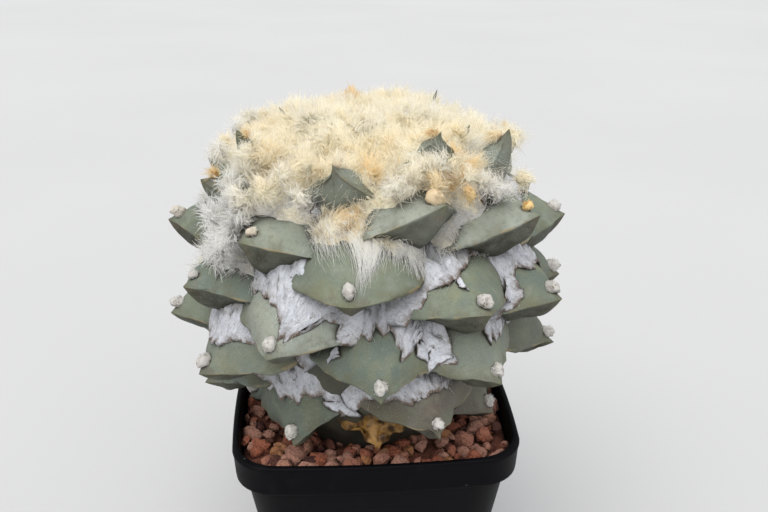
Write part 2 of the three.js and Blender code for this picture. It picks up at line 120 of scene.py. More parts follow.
def waves(places: Array, size: float, seed: int, count: int = 8) -> Array:
    """Smooth bumps: the sum of sine waves along seeded directions, from about -1 to 1.

    Args:
        places: Points.
        size: About how far apart the bumps are.
        seed: Which set of waves.
        count: How many waves are added.

    Returns:
        One value for each point.
    """
    rng = np.random.default_rng(seed)
    direction = rng.normal(size=(count, 3))
    direction /= np.linalg.norm(direction, axis=1, keepdims=True)
    rate = 2 * np.pi / size * rng.uniform(0.6, 1.7, count)
    phase = rng.uniform(0, 2 * np.pi, count)
    return np.sin(places @ (direction * rate[:, None]).T + phase).sum(-1) / math.sqrt(count)


def field(places: Array, size: float, seed: int) -> Array:
    """A smooth field of directions, each part of it its own set of waves."""
    return np.stack([waves(places, size, seed + part) for part in range(3)], -1)


def unit(vectors: Array) -> Array:
    """The vectors made one long."""
    return vectors / np.maximum(np.linalg.norm(vectors, axis=-1, keepdims=True), 1e-9)


def outward(angle: Numbers) -> Array:
    """The level direction at an angle round the axis: 0 is the front, in radians."""
    return np.stack([np.sin(angle), -np.cos(angle), 0 * angle], -1)


def even_angles(count: int) -> Array:
    """Angles at even steps round a circle."""
    return np.linspace(0, 2 * np.pi, count, endpoint=False)


def round_axis(angle: Array, radius: Array, height: Array) -> Array:
    """Points at an angle round the axis, a distance from it and a height above the rim."""
    return radius[..., None] * outward(angle) + (height + RIM_HEIGHT)[..., None] * UP


# Meshes from grids

@dataclass
class Patch:
    """Points in mm, four-cornered faces, and named values of the points."""

    points: Array
    faces: Array
    values: dict[str, Array]


def grid(points: Array, values: dict[str, Numbers]) -> Patch:
    """A surface on a grid of points whose last column joins the first.

    Args:
        points: Rows by columns by 3.
        values: For each name, rows by columns of numbers, or one number for all.

    Returns:
        The patch, with one face between each four neighbours.
    """
    rows, columns = points.shape[:2]
    here = np.arange(rows * columns).reshape(rows, columns)
    after = np.roll(here, -1, axis=1)
    faces = np.stack([here[:-1], after[:-1], after[1:], here[1:]], -1).reshape(-1, 4)
    flat = {name: np.broadcast_to(value, (rows, columns)).ravel() for name, value in values.items()}
    return Patch(points.reshape(-1, 3), faces, flat)


def sphere(rows: int, columns: int) -> Array:
    """The points of a ball of radius 1, row by row from its top pole to its lower one.

    Args:
        rows: How many rings, with the poles.
        columns: How many points on a ring.

    Returns:
        Rows by columns by 3 numbers.
    """
    polar = np.linspace(0, np.pi, rows)[:, None]
    turn = even_angles(columns)[None, :]
    return np.stack([np.sin(polar) * np.cos(turn), np.sin(polar) * np.sin(turn),
                     np.cos(polar) + 0 * turn], -1)


def closed_plate(over: Array, beneath: Array) -> Array:
    """The ring grid of a plate: its upper side, its lower side on the way back, and ends that meet halfway.

    Args:
        over: The upper side's points, rows by columns by 3.
        beneath: The lower side's points, in the same order.

    Returns:
        The grid, with a row more at each end and twice the columns.
    """
    rim = (over + beneath) / 2
    sides = np.concatenate([over, beneath[:, ::-1]], 1)
    ends = np.concatenate([rim, rim[:, ::-1]], 1)
    return np.concatenate([ends[:1], sides, ends[-1:]])


def ribbons(paths: Array, width: Array, facing: Array, values: dict[str, Array]) -> Patch:
    """Flat fibres: each carries its width across its path, at right angles to where it faces.

    Args:
        paths: Fibres by points by 3.
        width: The width at each point of a fibre, for all fibres or for each.
        facing: The direction that each fibre's flat side looks in, fibres by 3.
        values: For each name, one number for each fibre or for each of its points.

    Returns:
        The fibres as one patch, with their place from root to end as "reach" and across as "strand_m".
    """
    count, steps = paths.shape[:2]
    tangent = np.gradient(paths, axis=1)
    half = np.broadcast_to(width, (count, steps))[..., None] / 2
    side = unit(np.cross(tangent, facing[:, None, :])) * half
    points = np.stack([paths - side, paths + side], 2)
    number = np.arange(count * steps * 2).reshape(count, steps, 2)
    faces = np.stack([number[:, :-1, 0], number[:, :-1, 1], number[:, 1:, 1], number[:, 1:, 0]], -1)
    full = {"reach": np.broadcast_to(np.linspace(0, 1, steps), (count, steps))}
    for name, value in values.items():
        value = np.asarray(value, float)
        full[name] = np.broadcast_to(value[:, None] if value.ndim == 1 else value, (count, steps))
    flat = {name: np.repeat(value.reshape(-1), 2) for name, value in full.items()}
    own = np.arange(count)[:, None] * GOLDEN_SHARE % 1.0
    broad = float(np.max(width)) / 2
    flat["strand_m"] = np.repeat(own + np.array([-broad, broad]) * MM, steps, axis=0).ravel()
    return Patch(points.reshape(-1, 3), faces.reshape(-1, 4), flat)


# How fleece lies: how wide its locks and its curls are, how far a single fibre strays from them, how
# much it goes straight out, how much it curls, and how far its flat side turns
LOCK_SIZE = 9.0
CURL_SIZE = 5.0
LOCK_STRAY = 0.3
CURL_STRAY = 0.42
STRAIGHT_OUT = 0.55
CURL = 0.85
FACING_STRAY = 0.25


def fleece(root: Array, out: Array, rng: Draws, long: Array, tone: Array, seed: int,
           width: float = 0.34, lying: float = 1.5, soil_and_shade: Numbers = 0.0) -> Patch:
    """Soft curled fibres that leave a surface in tufts.

    Each leaves along the way out plus a smooth field, so that neighbours lie alike, then bends by a
    second, finer field that grows with the square of the way along it.

    Args:
        root: Where the fibres start.
        out: The unit directions out of the surface.
        rng: Where the draws come from.
        long: The fibres' lengths.
        tone: How golden each is, from 0 to 1.
        seed: Which fields they follow.
        width: How wide they are at the root.
        lying: How far they lie down, 0 for upright.
        soil_and_shade: How soiled each is, from 0 to 1.

    Returns:
        The fibres.
    """
    count = len(root)
    lean = unit(field(root, LOCK_SIZE, seed) + LOCK_STRAY * rng.normal(size=(count, 3)))
    bend = unit(field(root, CURL_SIZE, seed + 4) + CURL_STRAY * rng.normal(size=(count, 3)))
    inward = np.minimum((lean * out).sum(-1, keepdims=True), 0)
    way = unit(STRAIGHT_OUT * out + lying * (lean - inward * out))
    t = np.linspace(0, 1, 3)[None, :, None]
    paths = root[:, None] + long[:, None, None] * (way[:, None] * t + CURL * bend[:, None] * t ** 2)
    facing = unit(out + FACING_STRAY * rng.normal(size=(count, 3)))
    return ribbons(paths, width * np.array([1, 0.9, 0.25]), facing, {"tone": tone, "soil_and_shade": soil_and_shade})


def grid_normals(points: Array) -> Array:
    """Unit directions square to a ring grid: the cross product of its steps round and along."""
    around = np.roll(points, -1, axis=1) - np.roll(points, 1, axis=1)
    return unit(np.cross(around, np.gradient(points, axis=0)))


class Slot(Enum):
    """The record's material slots, which the calls name for their pieces."""

    PLASTIC = "pot_plastic"
    LAVA = "lava"
    FLESH = "flesh"
    WOOL = "wool"


class Shading(Enum):
    """How the faces of a piece meet in its shading."""

    SMOOTH = "smooth"
    FACETED = "faceted"


def make_piece(name: str, patches: Iterable[Patch], material: Material, node: str,
               slot: Slot = Slot.WOOL, closed: bool = True, shading: Shading = Shading.SMOOTH) -> None:
    """Join patches into one piece that rides on the body and stands for a CAD node.

    Its object is at the origin, with its place in its mesh.

    Args:
        name: The piece's name.
        patches: Its surfaces, with the same named values.
        material: Its finish.
        node: The CAD node that it replaces.
        slot: The record's slot for its finish; not used.
        closed: Whether its surfaces are closed shells, which are merged at their poles and turned outward.
        shading: Whether its faces are shaded smoothly.
    """
    patches = list(patches)
    starts = np.cumsum([0] + [len(patch.points) for patch in patches[:-1]])
    points = np.concatenate([patch.points for patch in patches]) * MM
    faces = np.concatenate([patch.faces + start for patch, start in zip(patches, starts)]).astype(np.int32)
    mesh = bpy.data.meshes.new(name)
    mesh.vertices.add(len(points))
    mesh.vertices.foreach_set("co", points.astype(np.float32).ravel())
    mesh.loops.add(faces.size)
    mesh.loops.foreach_set("vertex_index", faces.ravel())
    mesh.polygons.add(len(faces))
    mesh.polygons.foreach_set("loop_start", np.arange(0, faces.size, 4, dtype=np.int32))
    mesh.update(calc_edges=True)
    for key in patches[0].values:
        column = np.concatenate([patch.values[key] for patch in patches]).astype(np.float32)
        mesh.attributes.new(key, "FLOAT", "POINT").data.foreach_set("value", column)
    if closed:
        shape = bmesh.new()
        shape.from_mesh(mesh)
        bmesh.ops.remove_doubles(shape, verts=shape.verts, dist=SAME_POINT * MM)
        bmesh.ops.dissolve_degenerate(shape, edges=shape.edges, dist=LEAST_EDGE * MM)
        bmesh.ops.recalc_face_normals(shape, faces=shape.faces)
        shape.to_mesh(mesh)
        shape.free()
    mesh.polygons.foreach_set("use_smooth", [shading is Shading.SMOOTH] * len(mesh.polygons))
    mesh.update()
    mesh.materials.append(material)
    piece = bpy.data.objects.new(name, mesh)
    bpy.context.scene.collection.objects.link(piece)
    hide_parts(node)
    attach(piece, "root")
    mesh.calc_loop_triangles()
    LOG.info("%s: %d triangles", name, len(mesh.loop_triangles))


# Shader maths

Term = Union[float, "Value"]


class Value:
    """A number socket with arithmetic: an expression on values adds its Math nodes."""

    def __init__(self, look: "Look", socket: Socket) -> None:
        """Wrap a socket of a look."""
        self.look = look
        self.socket = socket

    def _math(self, operation: str, first: Term, second: Term, clamp: bool = False) -> "Value":
        """Add one Math node and return its result."""
        settings = {"operation": operation, "use_clamp": clamp}
        return Value(self.look, self.look.node("ShaderNodeMath", settings, [first, second]).outputs[0])

    def __add__(self, other: Term) -> "Value":
        """The sum."""
        return self._math("ADD", self, other)

    def __sub__(self, other: Term) -> "Value":
        """The difference."""
        return self._math("SUBTRACT", self, other)

    def __rsub__(self, other: Term) -> "Value":
        """The difference from a number."""
        return self._math("SUBTRACT", other, self)

    def __mul__(self, other: Term) -> "Value":
        """The product."""
        return self._math("MULTIPLY", self, other)

    __radd__ = __add__
    __rmul__ = __mul__

    def clamped(self) -> "Value":
        """The value held between 0 and 1."""
        return self._math("ADD", self, 0.0, clamp=True)

    def step(self, low: float, high: float) -> "Value":
        """A soft step, the smooth cubic of the share of the way from low to high.

        Args:
            low: Where it is 0.
            high: Where it is 1, which may be less than low for a falling step.

        Returns:
            The step.
        """
        falls = low > high
        node = self.look.node("ShaderNodeMapRange", {"interpolation_type": "SMOOTHSTEP"},
                              {"Value": self, "From Min": min(low, high), "From Max": max(low, high)})
        rising = Value(self.look, node.outputs[0])
        return 1.0 - rising if falls else rising


Tint = Union[Colour, Socket]


class Look:
    """A material whose Principled shader gets its colour and its relief in layers."""

    def __init__(self, name: str, colour: Colour) -> None:
        """Start an empty material with its shader, its output and its lowest colour.

        Args:
            name: The material's name.
            colour: The colour under all the others.
        """
        self.material = bpy.data.materials.new(name)
        self.material.use_nodes = True
        self.tree = self.material.node_tree
        self.tree.nodes.clear()
        self.output = self.tree.nodes.new("ShaderNodeOutputMaterial")
        self.shader = self.tree.nodes.new("ShaderNodeBsdfPrincipled")
        self.tree.links.new(self.shader.outputs[0], self.output.inputs["Surface"])
        self.place = self.node("ShaderNodeTexCoord").outputs["Object"]
        self.colour: Tint = colour
        self.normal: Optional[Socket] = None

    def node(self, kind: str, settings: Optional[dict] = None,
             inputs: Union[dict, Sequence, None] = None) -> bpy.types.Node:
        """Add a node of any kind.

        Args:
            kind: The node's type.
            settings: Its properties, which are set first.
            inputs: Values, sockets or tints for its inputs, by name or in order.

        Returns:
            The node.
        """
        node = self.tree.nodes.new(kind)
        for key, setting in (settings or {}).items():
            setattr(node, key, setting)
        pairs = inputs.items() if isinstance(inputs, dict) else enumerate(inputs or [])
        for key, given in pairs:
            self.feed(node.inputs[key], given)
        return node

    def feed(self, socket: Socket, given: Union[Term, Tint]) -> None:
        """Link a value or socket to an input, or set the number or colour on it.

        Args:
            socket: The input.
            given: What it gets.
        """
        if isinstance(given, Value):
            given = given.socket
        if isinstance(given, Socket):
            self.tree.links.new(given, socket)
        elif socket.type == "RGBA":
            socket.default_value = (*given, 1.0)
        else:
            socket.default_value = given

    def attribute(self, name: str) -> Value:
        """A named value of the mesh."""
        node = self.node("ShaderNodeAttribute", {"attribute_name": name})
        return Value(self, node.outputs["Fac"])

    def noise(self, size: float, detail: float = 2.0, rough: float = 0.5, twist: float = 0.0,
              place: Optional[Socket] = None, stretch: Colour = (1, 1, 1)) -> Value:
        """A noise pattern.

        Args:
            size: About how wide its spots are.
            detail: How many finer layers it has.
            rough: How strong the finer layers are.
            twist: How much it is distorted.
            place: The coordinates that it reads, or the object's own.
            stretch: How its rate differs along the three axes.

        Returns:
            The pattern, from 0 to 1.
        """
        place = place or self.place
        if stretch != (1, 1, 1):
            scaled = self.node("ShaderNodeVectorMath", {"operation": "MULTIPLY"}, [place, stretch])
            place = scaled.outputs[0]
        node = self.node("ShaderNodeTexNoise", {}, {
            "Vector": place, "Scale": 1 / (size * MM), "Detail": detail, "Roughness": rough,
            "Distortion": twist})
        return Value(self, node.outputs["Fac"])

    def cells(self, size: float) -> Value:
        """The distance to the nearest of scattered points a size in mm apart, from 0 to about 1."""
        node = self.node("ShaderNodeTexVoronoi", {}, {"Vector": self.place, "Scale": 1 / (size * MM)})
        return Value(self, node.outputs["Distance"])

    def shade_in_nooks(self, distance: float) -> Value:
        """How hidden a place is, to paint shade by: 0 in the open, 1 where surfaces lie all round within a
        distance in mm.
        """
        node = self.node("ShaderNodeAmbientOcclusion", {"samples": 6}, {"Distance": distance * MM})
        return 1.0 - Value(self, node.outputs["AO"])

    def cover(self, over: Colour, amount: Term) -> None:
        """Lay a colour over the colour so far.

        Args:
            over: The colour.
            amount: How much of it shows, from 0 to 1.
        """
        node = self.node("ShaderNodeMix", {"data_type": "RGBA", "clamp_factor": True},
                         {0: amount, 6: self.colour, 7: over})
        self.colour = node.outputs[2]

    def relief(self, height: Value, depth: float, strength: float = 1.0) -> None:
        """Lay relief over the relief so far, in the shading alone.

        Args:
            height: The relief, from 0 to 1.
            depth: How deep it is.
            strength: How much of it shows.
        """
        inputs = {"Height": height, "Distance": depth * MM, "Strength": strength}
        if self.normal is not None:
            inputs["Normal"] = self.normal
        self.normal = self.node("ShaderNodeBump", {}, inputs).outputs[0]

    def dress(self, roughness: Term, shine: float = 0.5) -> Material:
        """Feed the shader and return the material.

        Args:
            roughness: Its roughness.
            shine: Its specular level.

        Returns:
            The material.
        """
        given = {"Base Color": self.colour, "Roughness": roughness, "Specular IOR Level": shine}
        if self.normal is not None:
            given["Normal"] = self.normal
        for key, value in given.items():
            self.feed(self.shader.inputs[key], value)
        return self.material

    def let_light_through(self, share: float, cover: Optional[Value] = None) -> None:
        """Mix the shader with one that lights a thin fibre from behind, and leave the gaps between strands.

        Args:
            share: How much of the light comes through, in the colour so far.
            cover: Where there are strands, or None where they fill the ribbon.
        """
        thin = self.node("ShaderNodeBsdfTranslucent", {}, {"Color": self.colour})
        mixed = self.node("ShaderNodeMixShader", {}, [share, self.shader.outputs[0], thin.outputs[0]])
        if cover is not None:
            gap = self.node("ShaderNodeBsdfTransparent")
            mixed = self.node("ShaderNodeMixShader", {}, [cover, gap.outputs[0], mixed.outputs[0]])
        self.tree.links.new(mixed.outputs[0], self.output.inputs["Surface"])


# Finishes

@dataclass(frozen=True)
class FleshFinish:
    """Waxy grey-green skin, browner and painted darker underneath, with dry edges, a fine pale speckle,
    painted shade in the gaps and painted light and shade on single tubercles.
    """

    green: Colour = (0.172, 0.196, 0.140)
    blue_green: Colour = (0.126, 0.156, 0.128)
    under_brown_and_shade: Colour = (0.034, 0.032, 0.018)
    bloom: Colour = (0.270, 0.286, 0.246)
    # pale is painted light and shadow is painted shade, laid on single tubercles
    pale: Colour = (0.40, 0.415, 0.365)
    shadow: Colour = (0.028, 0.030, 0.018)
    blush: Colour = (0.123, 0.093, 0.078)
    tip_green: Colour = (0.102, 0.108, 0.051)
    olive: Colour = (0.095, 0.085, 0.045)
    moss: Colour = (0.205, 0.212, 0.118)
    straw: Colour = (0.290, 0.227, 0.126)
    dust: Colour = (0.125, 0.140, 0.105)
    speckle: Colour = (0.33, 0.345, 0.30)
    pore: Colour = (0.055, 0.06, 0.04)
    withered: Colour = (0.33, 0.18, 0.05)
    scorched: Colour = (0.07, 0.03, 0.008)
    # dark is painted shade deep in the axils and in nooks
    dark: Colour = (0.015, 0.011, 0.007)

    def material(self) -> Material:
        """Layer the colours by the tubercles' own values and fine noises.

        Returns:
            The material.
        """
        look = Look("flesh", self.green)
        broad = look.noise(9, 3, 0.55).step(0.36, 0.66)
        fine = look.noise(0.42, 3, 0.6)
        near_tip = look.attribute("near_tip")
        look.cover(self.blue_green, (broad + look.attribute("blue")).clamped())
        look.cover(self.bloom, look.noise(4, 4, 0.6).step(0.5, 0.78) * 0.45)
        look.cover(self.moss, look.noise(6, 4, 0.65).step(0.48, 0.70) * 0.5)
        look.cover(self.blush, look.attribute("blush") * (0.6 + 0.4 * broad))
        # Painted light and painted shade on single tubercles, as the light falls on them.
        look.cover(self.pale, look.attribute("light"))
        look.cover(self.shadow, look.attribute("dark"))
        # The underside: browner skin with painted shade over it, less on the young tubercles.
        patchy = 0.7 + 0.28 * look.noise(5, 3).step(0.35, 0.7)
        look.cover(self.under_brown_and_shade, look.attribute("under") * patchy)
        look.cover(self.dust, look.noise(1.5, 4, 0.7).step(0.48, 0.68) * 0.42)
        look.cover(self.tip_green, near_tip.step(0.15, 0.9) * 0.75)
        look.cover(self.blush, near_tip.step(0.04, 0.4) * look.noise(3, 3).step(0.42, 0.66) * 0.45)
        look.cover(self.olive, look.attribute("band") * look.noise(6, 3).step(0.35, 0.62) * 0.55)
        look.cover(self.speckle, fine.step(0.5, 0.75) * 0.26)
        look.cover(self.pore, look.noise(0.45, 2).step(0.6, 0.75) * 0.30)
        dry = look.attribute("edge").step(0.7, 0.97) * look.noise(7, 3).step(0.5, 0.62)
        look.cover(self.straw, dry * 0.75)
        # Painted shade towards the roots of faces and keels, and in nooks, less on the young tubercles.
        look.cover(self.dark, look.attribute("deep").step(0.2, 1.0) * 0.75)
        look.cover(self.dark, look.shade_in_nooks(10).step(0.28, 0.68) * look.attribute("age") * 0.92)
        withered = look.attribute("withered")
        look.cover(self.withered, withered)
        look.cover(self.scorched, look.noise(3, 3).step(0.4, 0.65) * withered)
        look.relief(look.noise(1.3, 4, 0.68), 0.34, 0.8)
        look.relief(fine, 0.08, 0.8)
        return look.dress(0.55 + 0.2 * fine - 0.28 * withered, 0.35)


@dataclass(frozen=True)
class FeltFinish:
    """Old matted wool: pale grey fibres, grey pits, a brown frayed end, and painted shade along fold lines
    and in nooks.
    """

    pale: Colour = (0.725, 0.742, 0.795)
    bright: Colour = (0.74, 0.75, 0.77)
    grey: Colour = (0.250, 0.248, 0.258)
    brown: Colour = (0.149, 0.093, 0.050)
    cream: Colour = (0.490, 0.435, 0.340)
    pit: Colour = (0.09, 0.08, 0.075)
    fold_shade: Colour = (0.16, 0.125, 0.09)
    painted_nook_shade: Colour = (0.060, 0.045, 0.030)

    def material(self) -> Material:
        """Streaks that follow the tubercle, pits between them, brown towards the ragged end, and painted
        shade along fold lines and in nooks.

        Returns:
            The material.
        """
        look = Look("felt", self.pale)
        places = [look.attribute("across_m"), look.attribute("along_m"), 0.0]
        flow = look.node("ShaderNodeCombineXYZ", {}, places).outputs[0]
        streak = look.noise(0.9, 5, 0.7, 2.0, flow, (1.0, 0.36, 1.0))
        mat = look.noise(2.2, 5, 0.7, 0.8)
        look.cover(self.grey, streak.step(0.50, 0.70) * 0.6)
        look.cover(self.bright, mat.step(0.52, 0.70) * 0.75)
        look.cover(self.cream, look.noise(7, 3).step(0.54, 0.74) * 0.4)
        look.cover(self.grey, look.noise(3.4, 4, 0.65, 1.0).step(0.56, 0.70) * 0.55)
        look.cover(self.pit, look.noise(0.9, 3, 0.6).step(0.66, 0.76) * 0.6)
        frayed = look.attribute("frayed") * (0.35 + look.noise(1.6, 3).step(0.35, 0.6))
        look.cover(self.brown, frayed.clamped() * 0.85)
        # Painted shade: thin dark lines along the folds.
        look.cover(self.fold_shade, look.noise(2.6, 3, 0.6, 1.5, flow, (1.0, 0.5, 1.0)).step(0.60, 0.68) * 0.7)
        # Painted shade where the felt is hidden by surfaces nearby.
        look.cover(self.painted_nook_shade, look.shade_in_nooks(7).step(0.36, 0.70) * 0.9)
        look.relief(mat, 1.1)
        look.relief(streak, 0.5)
        return look.dress(0.92, 0.1)


@dataclass(frozen=True)
class FibreFinish:
    """Wool fibres: a gold, a cream and a white, chosen fibre by fibre."""

    name: str = "wool"
    gold: Colour = (0.90, 0.69, 0.355)
    cream: Colour = (0.98, 0.93, 0.79)
    white: Colour = (0.90, 0.895, 0.875)
    brown: Colour = (0.16, 0.10, 0.06)
    root: Colour = (0.55, 0.40, 0.22)
    through: float = 0.58
    strands: bool = False
    strand_width: float = 0.085

    def material(self) -> Material:
        """Mix the colours by the fibres' own values, darker at the root, and split the ribbons in strands.

        Returns:
            The material.
        """
        look = Look(self.name, self.white)
        tone = look.attribute("tone")
        look.cover(self.cream, tone.step(0.1, 0.5))
        look.cover(self.gold, tone.step(0.5, 1.0))
        look.cover(self.brown, look.attribute("soil_and_shade"))
        look.cover(self.root, look.attribute("reach").step(0.3, 0.0) * 0.12)
        strand = None
        if self.strands:
            across = look.node("ShaderNodeCombineXYZ", {}, [look.attribute("strand_m"), 0.0, 0.0])
            strand = look.noise(self.strand_width, 1.0, 0.5, 0.0, across.outputs[0]).step(0.44, 0.54)
        look.let_light_through(self.through, strand)
        return look.dress(0.8, 0.15)


@dataclass(frozen=True)
class WoolCoreFinish:
    """The dense wool under the loose fibres."""

    white: Colour = (0.58, 0.575, 0.56)
    cream: Colour = (0.88, 0.82, 0.63)
    gold: Colour = (0.82, 0.63, 0.32)
    hollow_shade: Colour = (0.34, 0.27, 0.19)

    def material(self) -> Material:
        """White, cream and gold by the wool's own tone, painted shade in patchy hollows, and a fine fibrous
        relief.

        Returns:
            The material.
        """
        look = Look("wool_core", self.white)
        tone = look.attribute("tone") + (look.noise(2.4, 4, 0.6) - 0.5) * 0.3
        look.cover(self.cream, tone.step(0.1, 0.4))
        look.cover(self.gold, tone.step(0.45, 0.9))
        # Painted shade in patchy hollows of the wool.
        look.cover(self.hollow_shade, look.noise(1.7, 4, 0.65, 1.2).step(0.52, 0.70) * 0.6)
        look.relief(look.noise(0.8, 5, 0.75, 1.5), 0.8)
        return look.dress(0.95, 0.05)


@dataclass(frozen=True)
class TuftFinish:
    """The matted tufts of the areoles: golden or white, with grey painted shade in hollows, brown specks,
    and brown soil with painted shade.
    """

    white: Colour = (0.60, 0.585, 0.56)
    gold: Colour = (0.84, 0.60, 0.28)
    grey: Colour = (0.30, 0.27, 0.24)
    brown: Colour = (0.13, 0.08, 0.045)

    def material(self) -> Material:
        """Mix the colours by the tuft's age and noises, with a fibrous relief.

        Returns:
            The material.
        """
        look = Look("areole_tuft", self.white)
        tone = look.attribute("tone").clamped()
        look.cover(self.gold, tone)
        white = (1.0 - 1.8 * tone).clamped()
        # Painted shade: grey patches in the hollows of white tufts.
        look.cover(self.grey, look.noise(1.3, 3, 0.6).step(0.5, 0.68) * white * 0.65)
        specks = look.noise(1.0, 2).step(0.62, 0.72) * white * 0.8
        # Brown specks, and brown soil mixed with painted shade in the hollows and underneath.
        look.cover(self.brown, (look.attribute("soil_and_shade") + specks).clamped())
        look.relief(look.noise(0.45, 4, 0.7, 1.0), 0.4)
        return look.dress(0.95, 0.05)


@dataclass(frozen=True)
class LavaFinish:
    """Crushed lava: red-brown, pinkish and dark grains with fine pores and dust, and painted shade in the
    nooks between grains.
    """

    red: Colour = (0.290, 0.098, 0.056)
    pink: Colour = (0.360, 0.185, 0.135)
    dark: Colour = (0.070, 0.030, 0.024)
    ochre: Colour = (0.347, 0.157, 0.073)
    cream: Colour = (0.455, 0.390, 0.273)
    pore: Colour = (0.018, 0.009, 0.008)
    dust: Colour = (0.27, 0.17, 0.14)
    painted_nook_shade: Colour = (0.014, 0.005, 0.004)

    def material(self) -> Material:
        """A colour for each grain, with pores sunk by the relief, and painted shade where grains hide each
        other.

        Returns:
            The material.
        """
        look = Look("lava", self.red)
        tone = look.attribute("tone")
        look.cover(self.pink, tone.step(0.35, 0.6))
        look.cover(self.dark, tone.step(0.22, 0.05))
        look.cover(self.ochre, tone.step(0.82, 0.95))
        look.cover(self.cream, look.attribute("cream"))
        pores = look.cells(0.75).step(0.42, 0.12)
        grit = look.noise(0.6, 4, 0.7)
        look.cover(self.pore, pores * 0.55)
        look.cover(self.dust, grit.step(0.55, 0.8) * 0.5)
        # Painted shade where grains hide each other.
        look.cover(self.painted_nook_shade, look.shade_in_nooks(5).step(0.4, 0.9) * 0.85)
        look.relief(1.0 - pores, 0.3, 0.7)
        look.relief(grit, 0.25, 0.8)
        return look.dress(0.9, 0.2)


@dataclass(frozen=True)
class MixFinish:
    """Gritty potting mix: brown peat with pale specks of pumice."""

    peat: Colour = (0.045, 0.028, 0.018)
    dry_peat: Colour = (0.09, 0.06, 0.04)
    pumice: Colour = (0.38, 0.34, 0.28)

    def material(self) -> Material:
        """Peat with scattered specks.

        Returns:
            The material.
        """
        look = Look("potting_mix", self.peat)
        look.cover(self.dry_peat, look.noise(2, 4, 0.7).step(0.4, 0.7))
        look.cover(self.pumice, look.cells(3.2).step(0.3, 0.2))
        look.relief(look.noise(1.2, 5, 0.7), 0.8)
        return look.dress(0.95)


@dataclass(frozen=True)
class PlasticFinish:
    """Satin black moulded plastic with dust specks, smears, scuffs and slightly uneven sides."""

    black: Colour = (0.003, 0.003, 0.004)
    dust: Colour = (0.080, 0.075, 0.070)

    def material(self) -> Material:
        """Dust specks and smears over black, with uneven gloss.

        Returns:
            The material.
        """
        look = Look("pot_plastic", self.black)
        smear = look.noise(14, 4, 0.6, 0.6).step(0.5, 0.8)
        specks = look.cells(5.5).step(0.075, 0.04) * look.noise(9, 2).step(0.45, 0.6)
        scratch = look.noise(2.2, 3, 0.5, 0.2, None, (1.0, 1.0, 9.0)).step(0.68, 0.74)
        look.cover(self.dust, smear * 0.07)
        look.cover(self.dust, (specks * 0.8 + scratch * smear * 0.35).clamped())
        look.relief(look.noise(0.5, 2), 0.012, 0.5)
        look.relief(look.noise(30, 2), 0.5, 0.35)
        return look.dress(0.5 + 0.14 * smear + 0.3 * specks, 0.05)


# The plant's spiral of tubercles

@dataclass(frozen=True)
class Growth:
    """How the tubercles change with height and age; the same values as the frame's source."""

    first_azimuth: float = 308
    top_tip: float = 96
    drop: float = 1.85
    lean: float = 4
    youngest: int = -7
    last: int = 54
    absent: int = 39
    young_height: float = 95.5
    young_reach: float = 37
    young_step: float = 3.6
    reach: Table = ((-8, 37), (0, 41), (4, 46), (12, 55), (25, 61), (40, 63.5), (58, 63), (72, 60),
                    (85, 53), (95, 43))
    tilt: Table = ((0, -25), (30, -22), (45, -6), (60, 2), (75, 15), (85, 32), (95, 55), (102, 72))
    length: Table = ((-8, 20), (5, 26), (20, 29), (70, 29), (88, 26), (98, 19))
    half_width: Table = ((-8, 13), (5, 18), (20, 20), (70, 20), (85, 17), (92, 14), (98, 9))
    keel: Table = ((70, 0.78), (82, 0.6), (95, 0.5))
    young_width: float = 0.9
    young_narrowing: float = 0.06
    width_spread: float = 0.05
    length_spread: float = 0.04


# Tubercles that stand off the even spiral, as in the photo: degrees turned, mm raised, mm moved out
STRAYS: dict[int, tuple[float, float, float]] = {
    -7: (15, 2.5, 0), -5: (24, 1, 2), -4: (-12, 2, 5), -3: (-32, 0, -4), -2: (43, 0, -3), -1: (-32, -1, 0),
    0: (-7, 2, 0), 1: (0, -4.5, 0), 2: (-11, 3.5, 0), 3: (0, -9, -5), 4: (-10, -9.5, -3), 5: (5, 5, 0),
    7: (-6, 7, -1), 8: (10, 4, -1), 10: (4, 3, 0), 11: (-2, -5, 0), 12: (8, -11, -5), 13: (4, 2, 0),
    15: (2, 3, 0), 16: (1, -1, 0), 18: (-1, -3, 0),
    20: (3, 1, -2), 21: (2, 0, 0), 23: (1, -2, 0), 26: (-1, -4, 0), 28: (-2, 0, 0), 29: (2, -2, 0),
    31: (-6, -7, 0), 33: (4, -1, 0), 34: (-7, -2, 1), 36: (-6, -1, 0), 41: (5, -1, -1), 42: (-2, 1, -1),
    44: (-1, -1, 0), 47: (4, -1, 0), 49: (5, -4, -2), 52: (2, 4, -4), 54: (5, -2, 0)}

# How the half width, the rise, the keel and the droop of the edges grow from the tip to the root
WIDTH_SHAPE: Table = ((0, 0), (0.08, 0.1), (0.24, 0.35), (0.46, 0.74), (0.75, 0.97), (1, 1))
RISE_SHAPE: Table = ((0, 0), (0.05, 0.06), (0.15, 0.2), (0.3, 0.4), (0.5, 0.64), (0.75, 0.87), (1, 1))
KEEL_SHAPE: Table = ((0, 0), (0.05, 0.17), (0.15, 0.42), (0.3, 0.62), (0.5, 0.8), (0.75, 0.93), (1, 1))
DROOP_SHAPE: Table = ((0, 0), (0.24, 0.08), (0.46, 0.14), (0.8, 0.16))
RISE_RATIO = 0.7
FACE_ROUNDNESS = 2.2
FULL_POWER = 0.3
KEEL_ROUNDING = 0.004
KEEL_POWER = 1.3

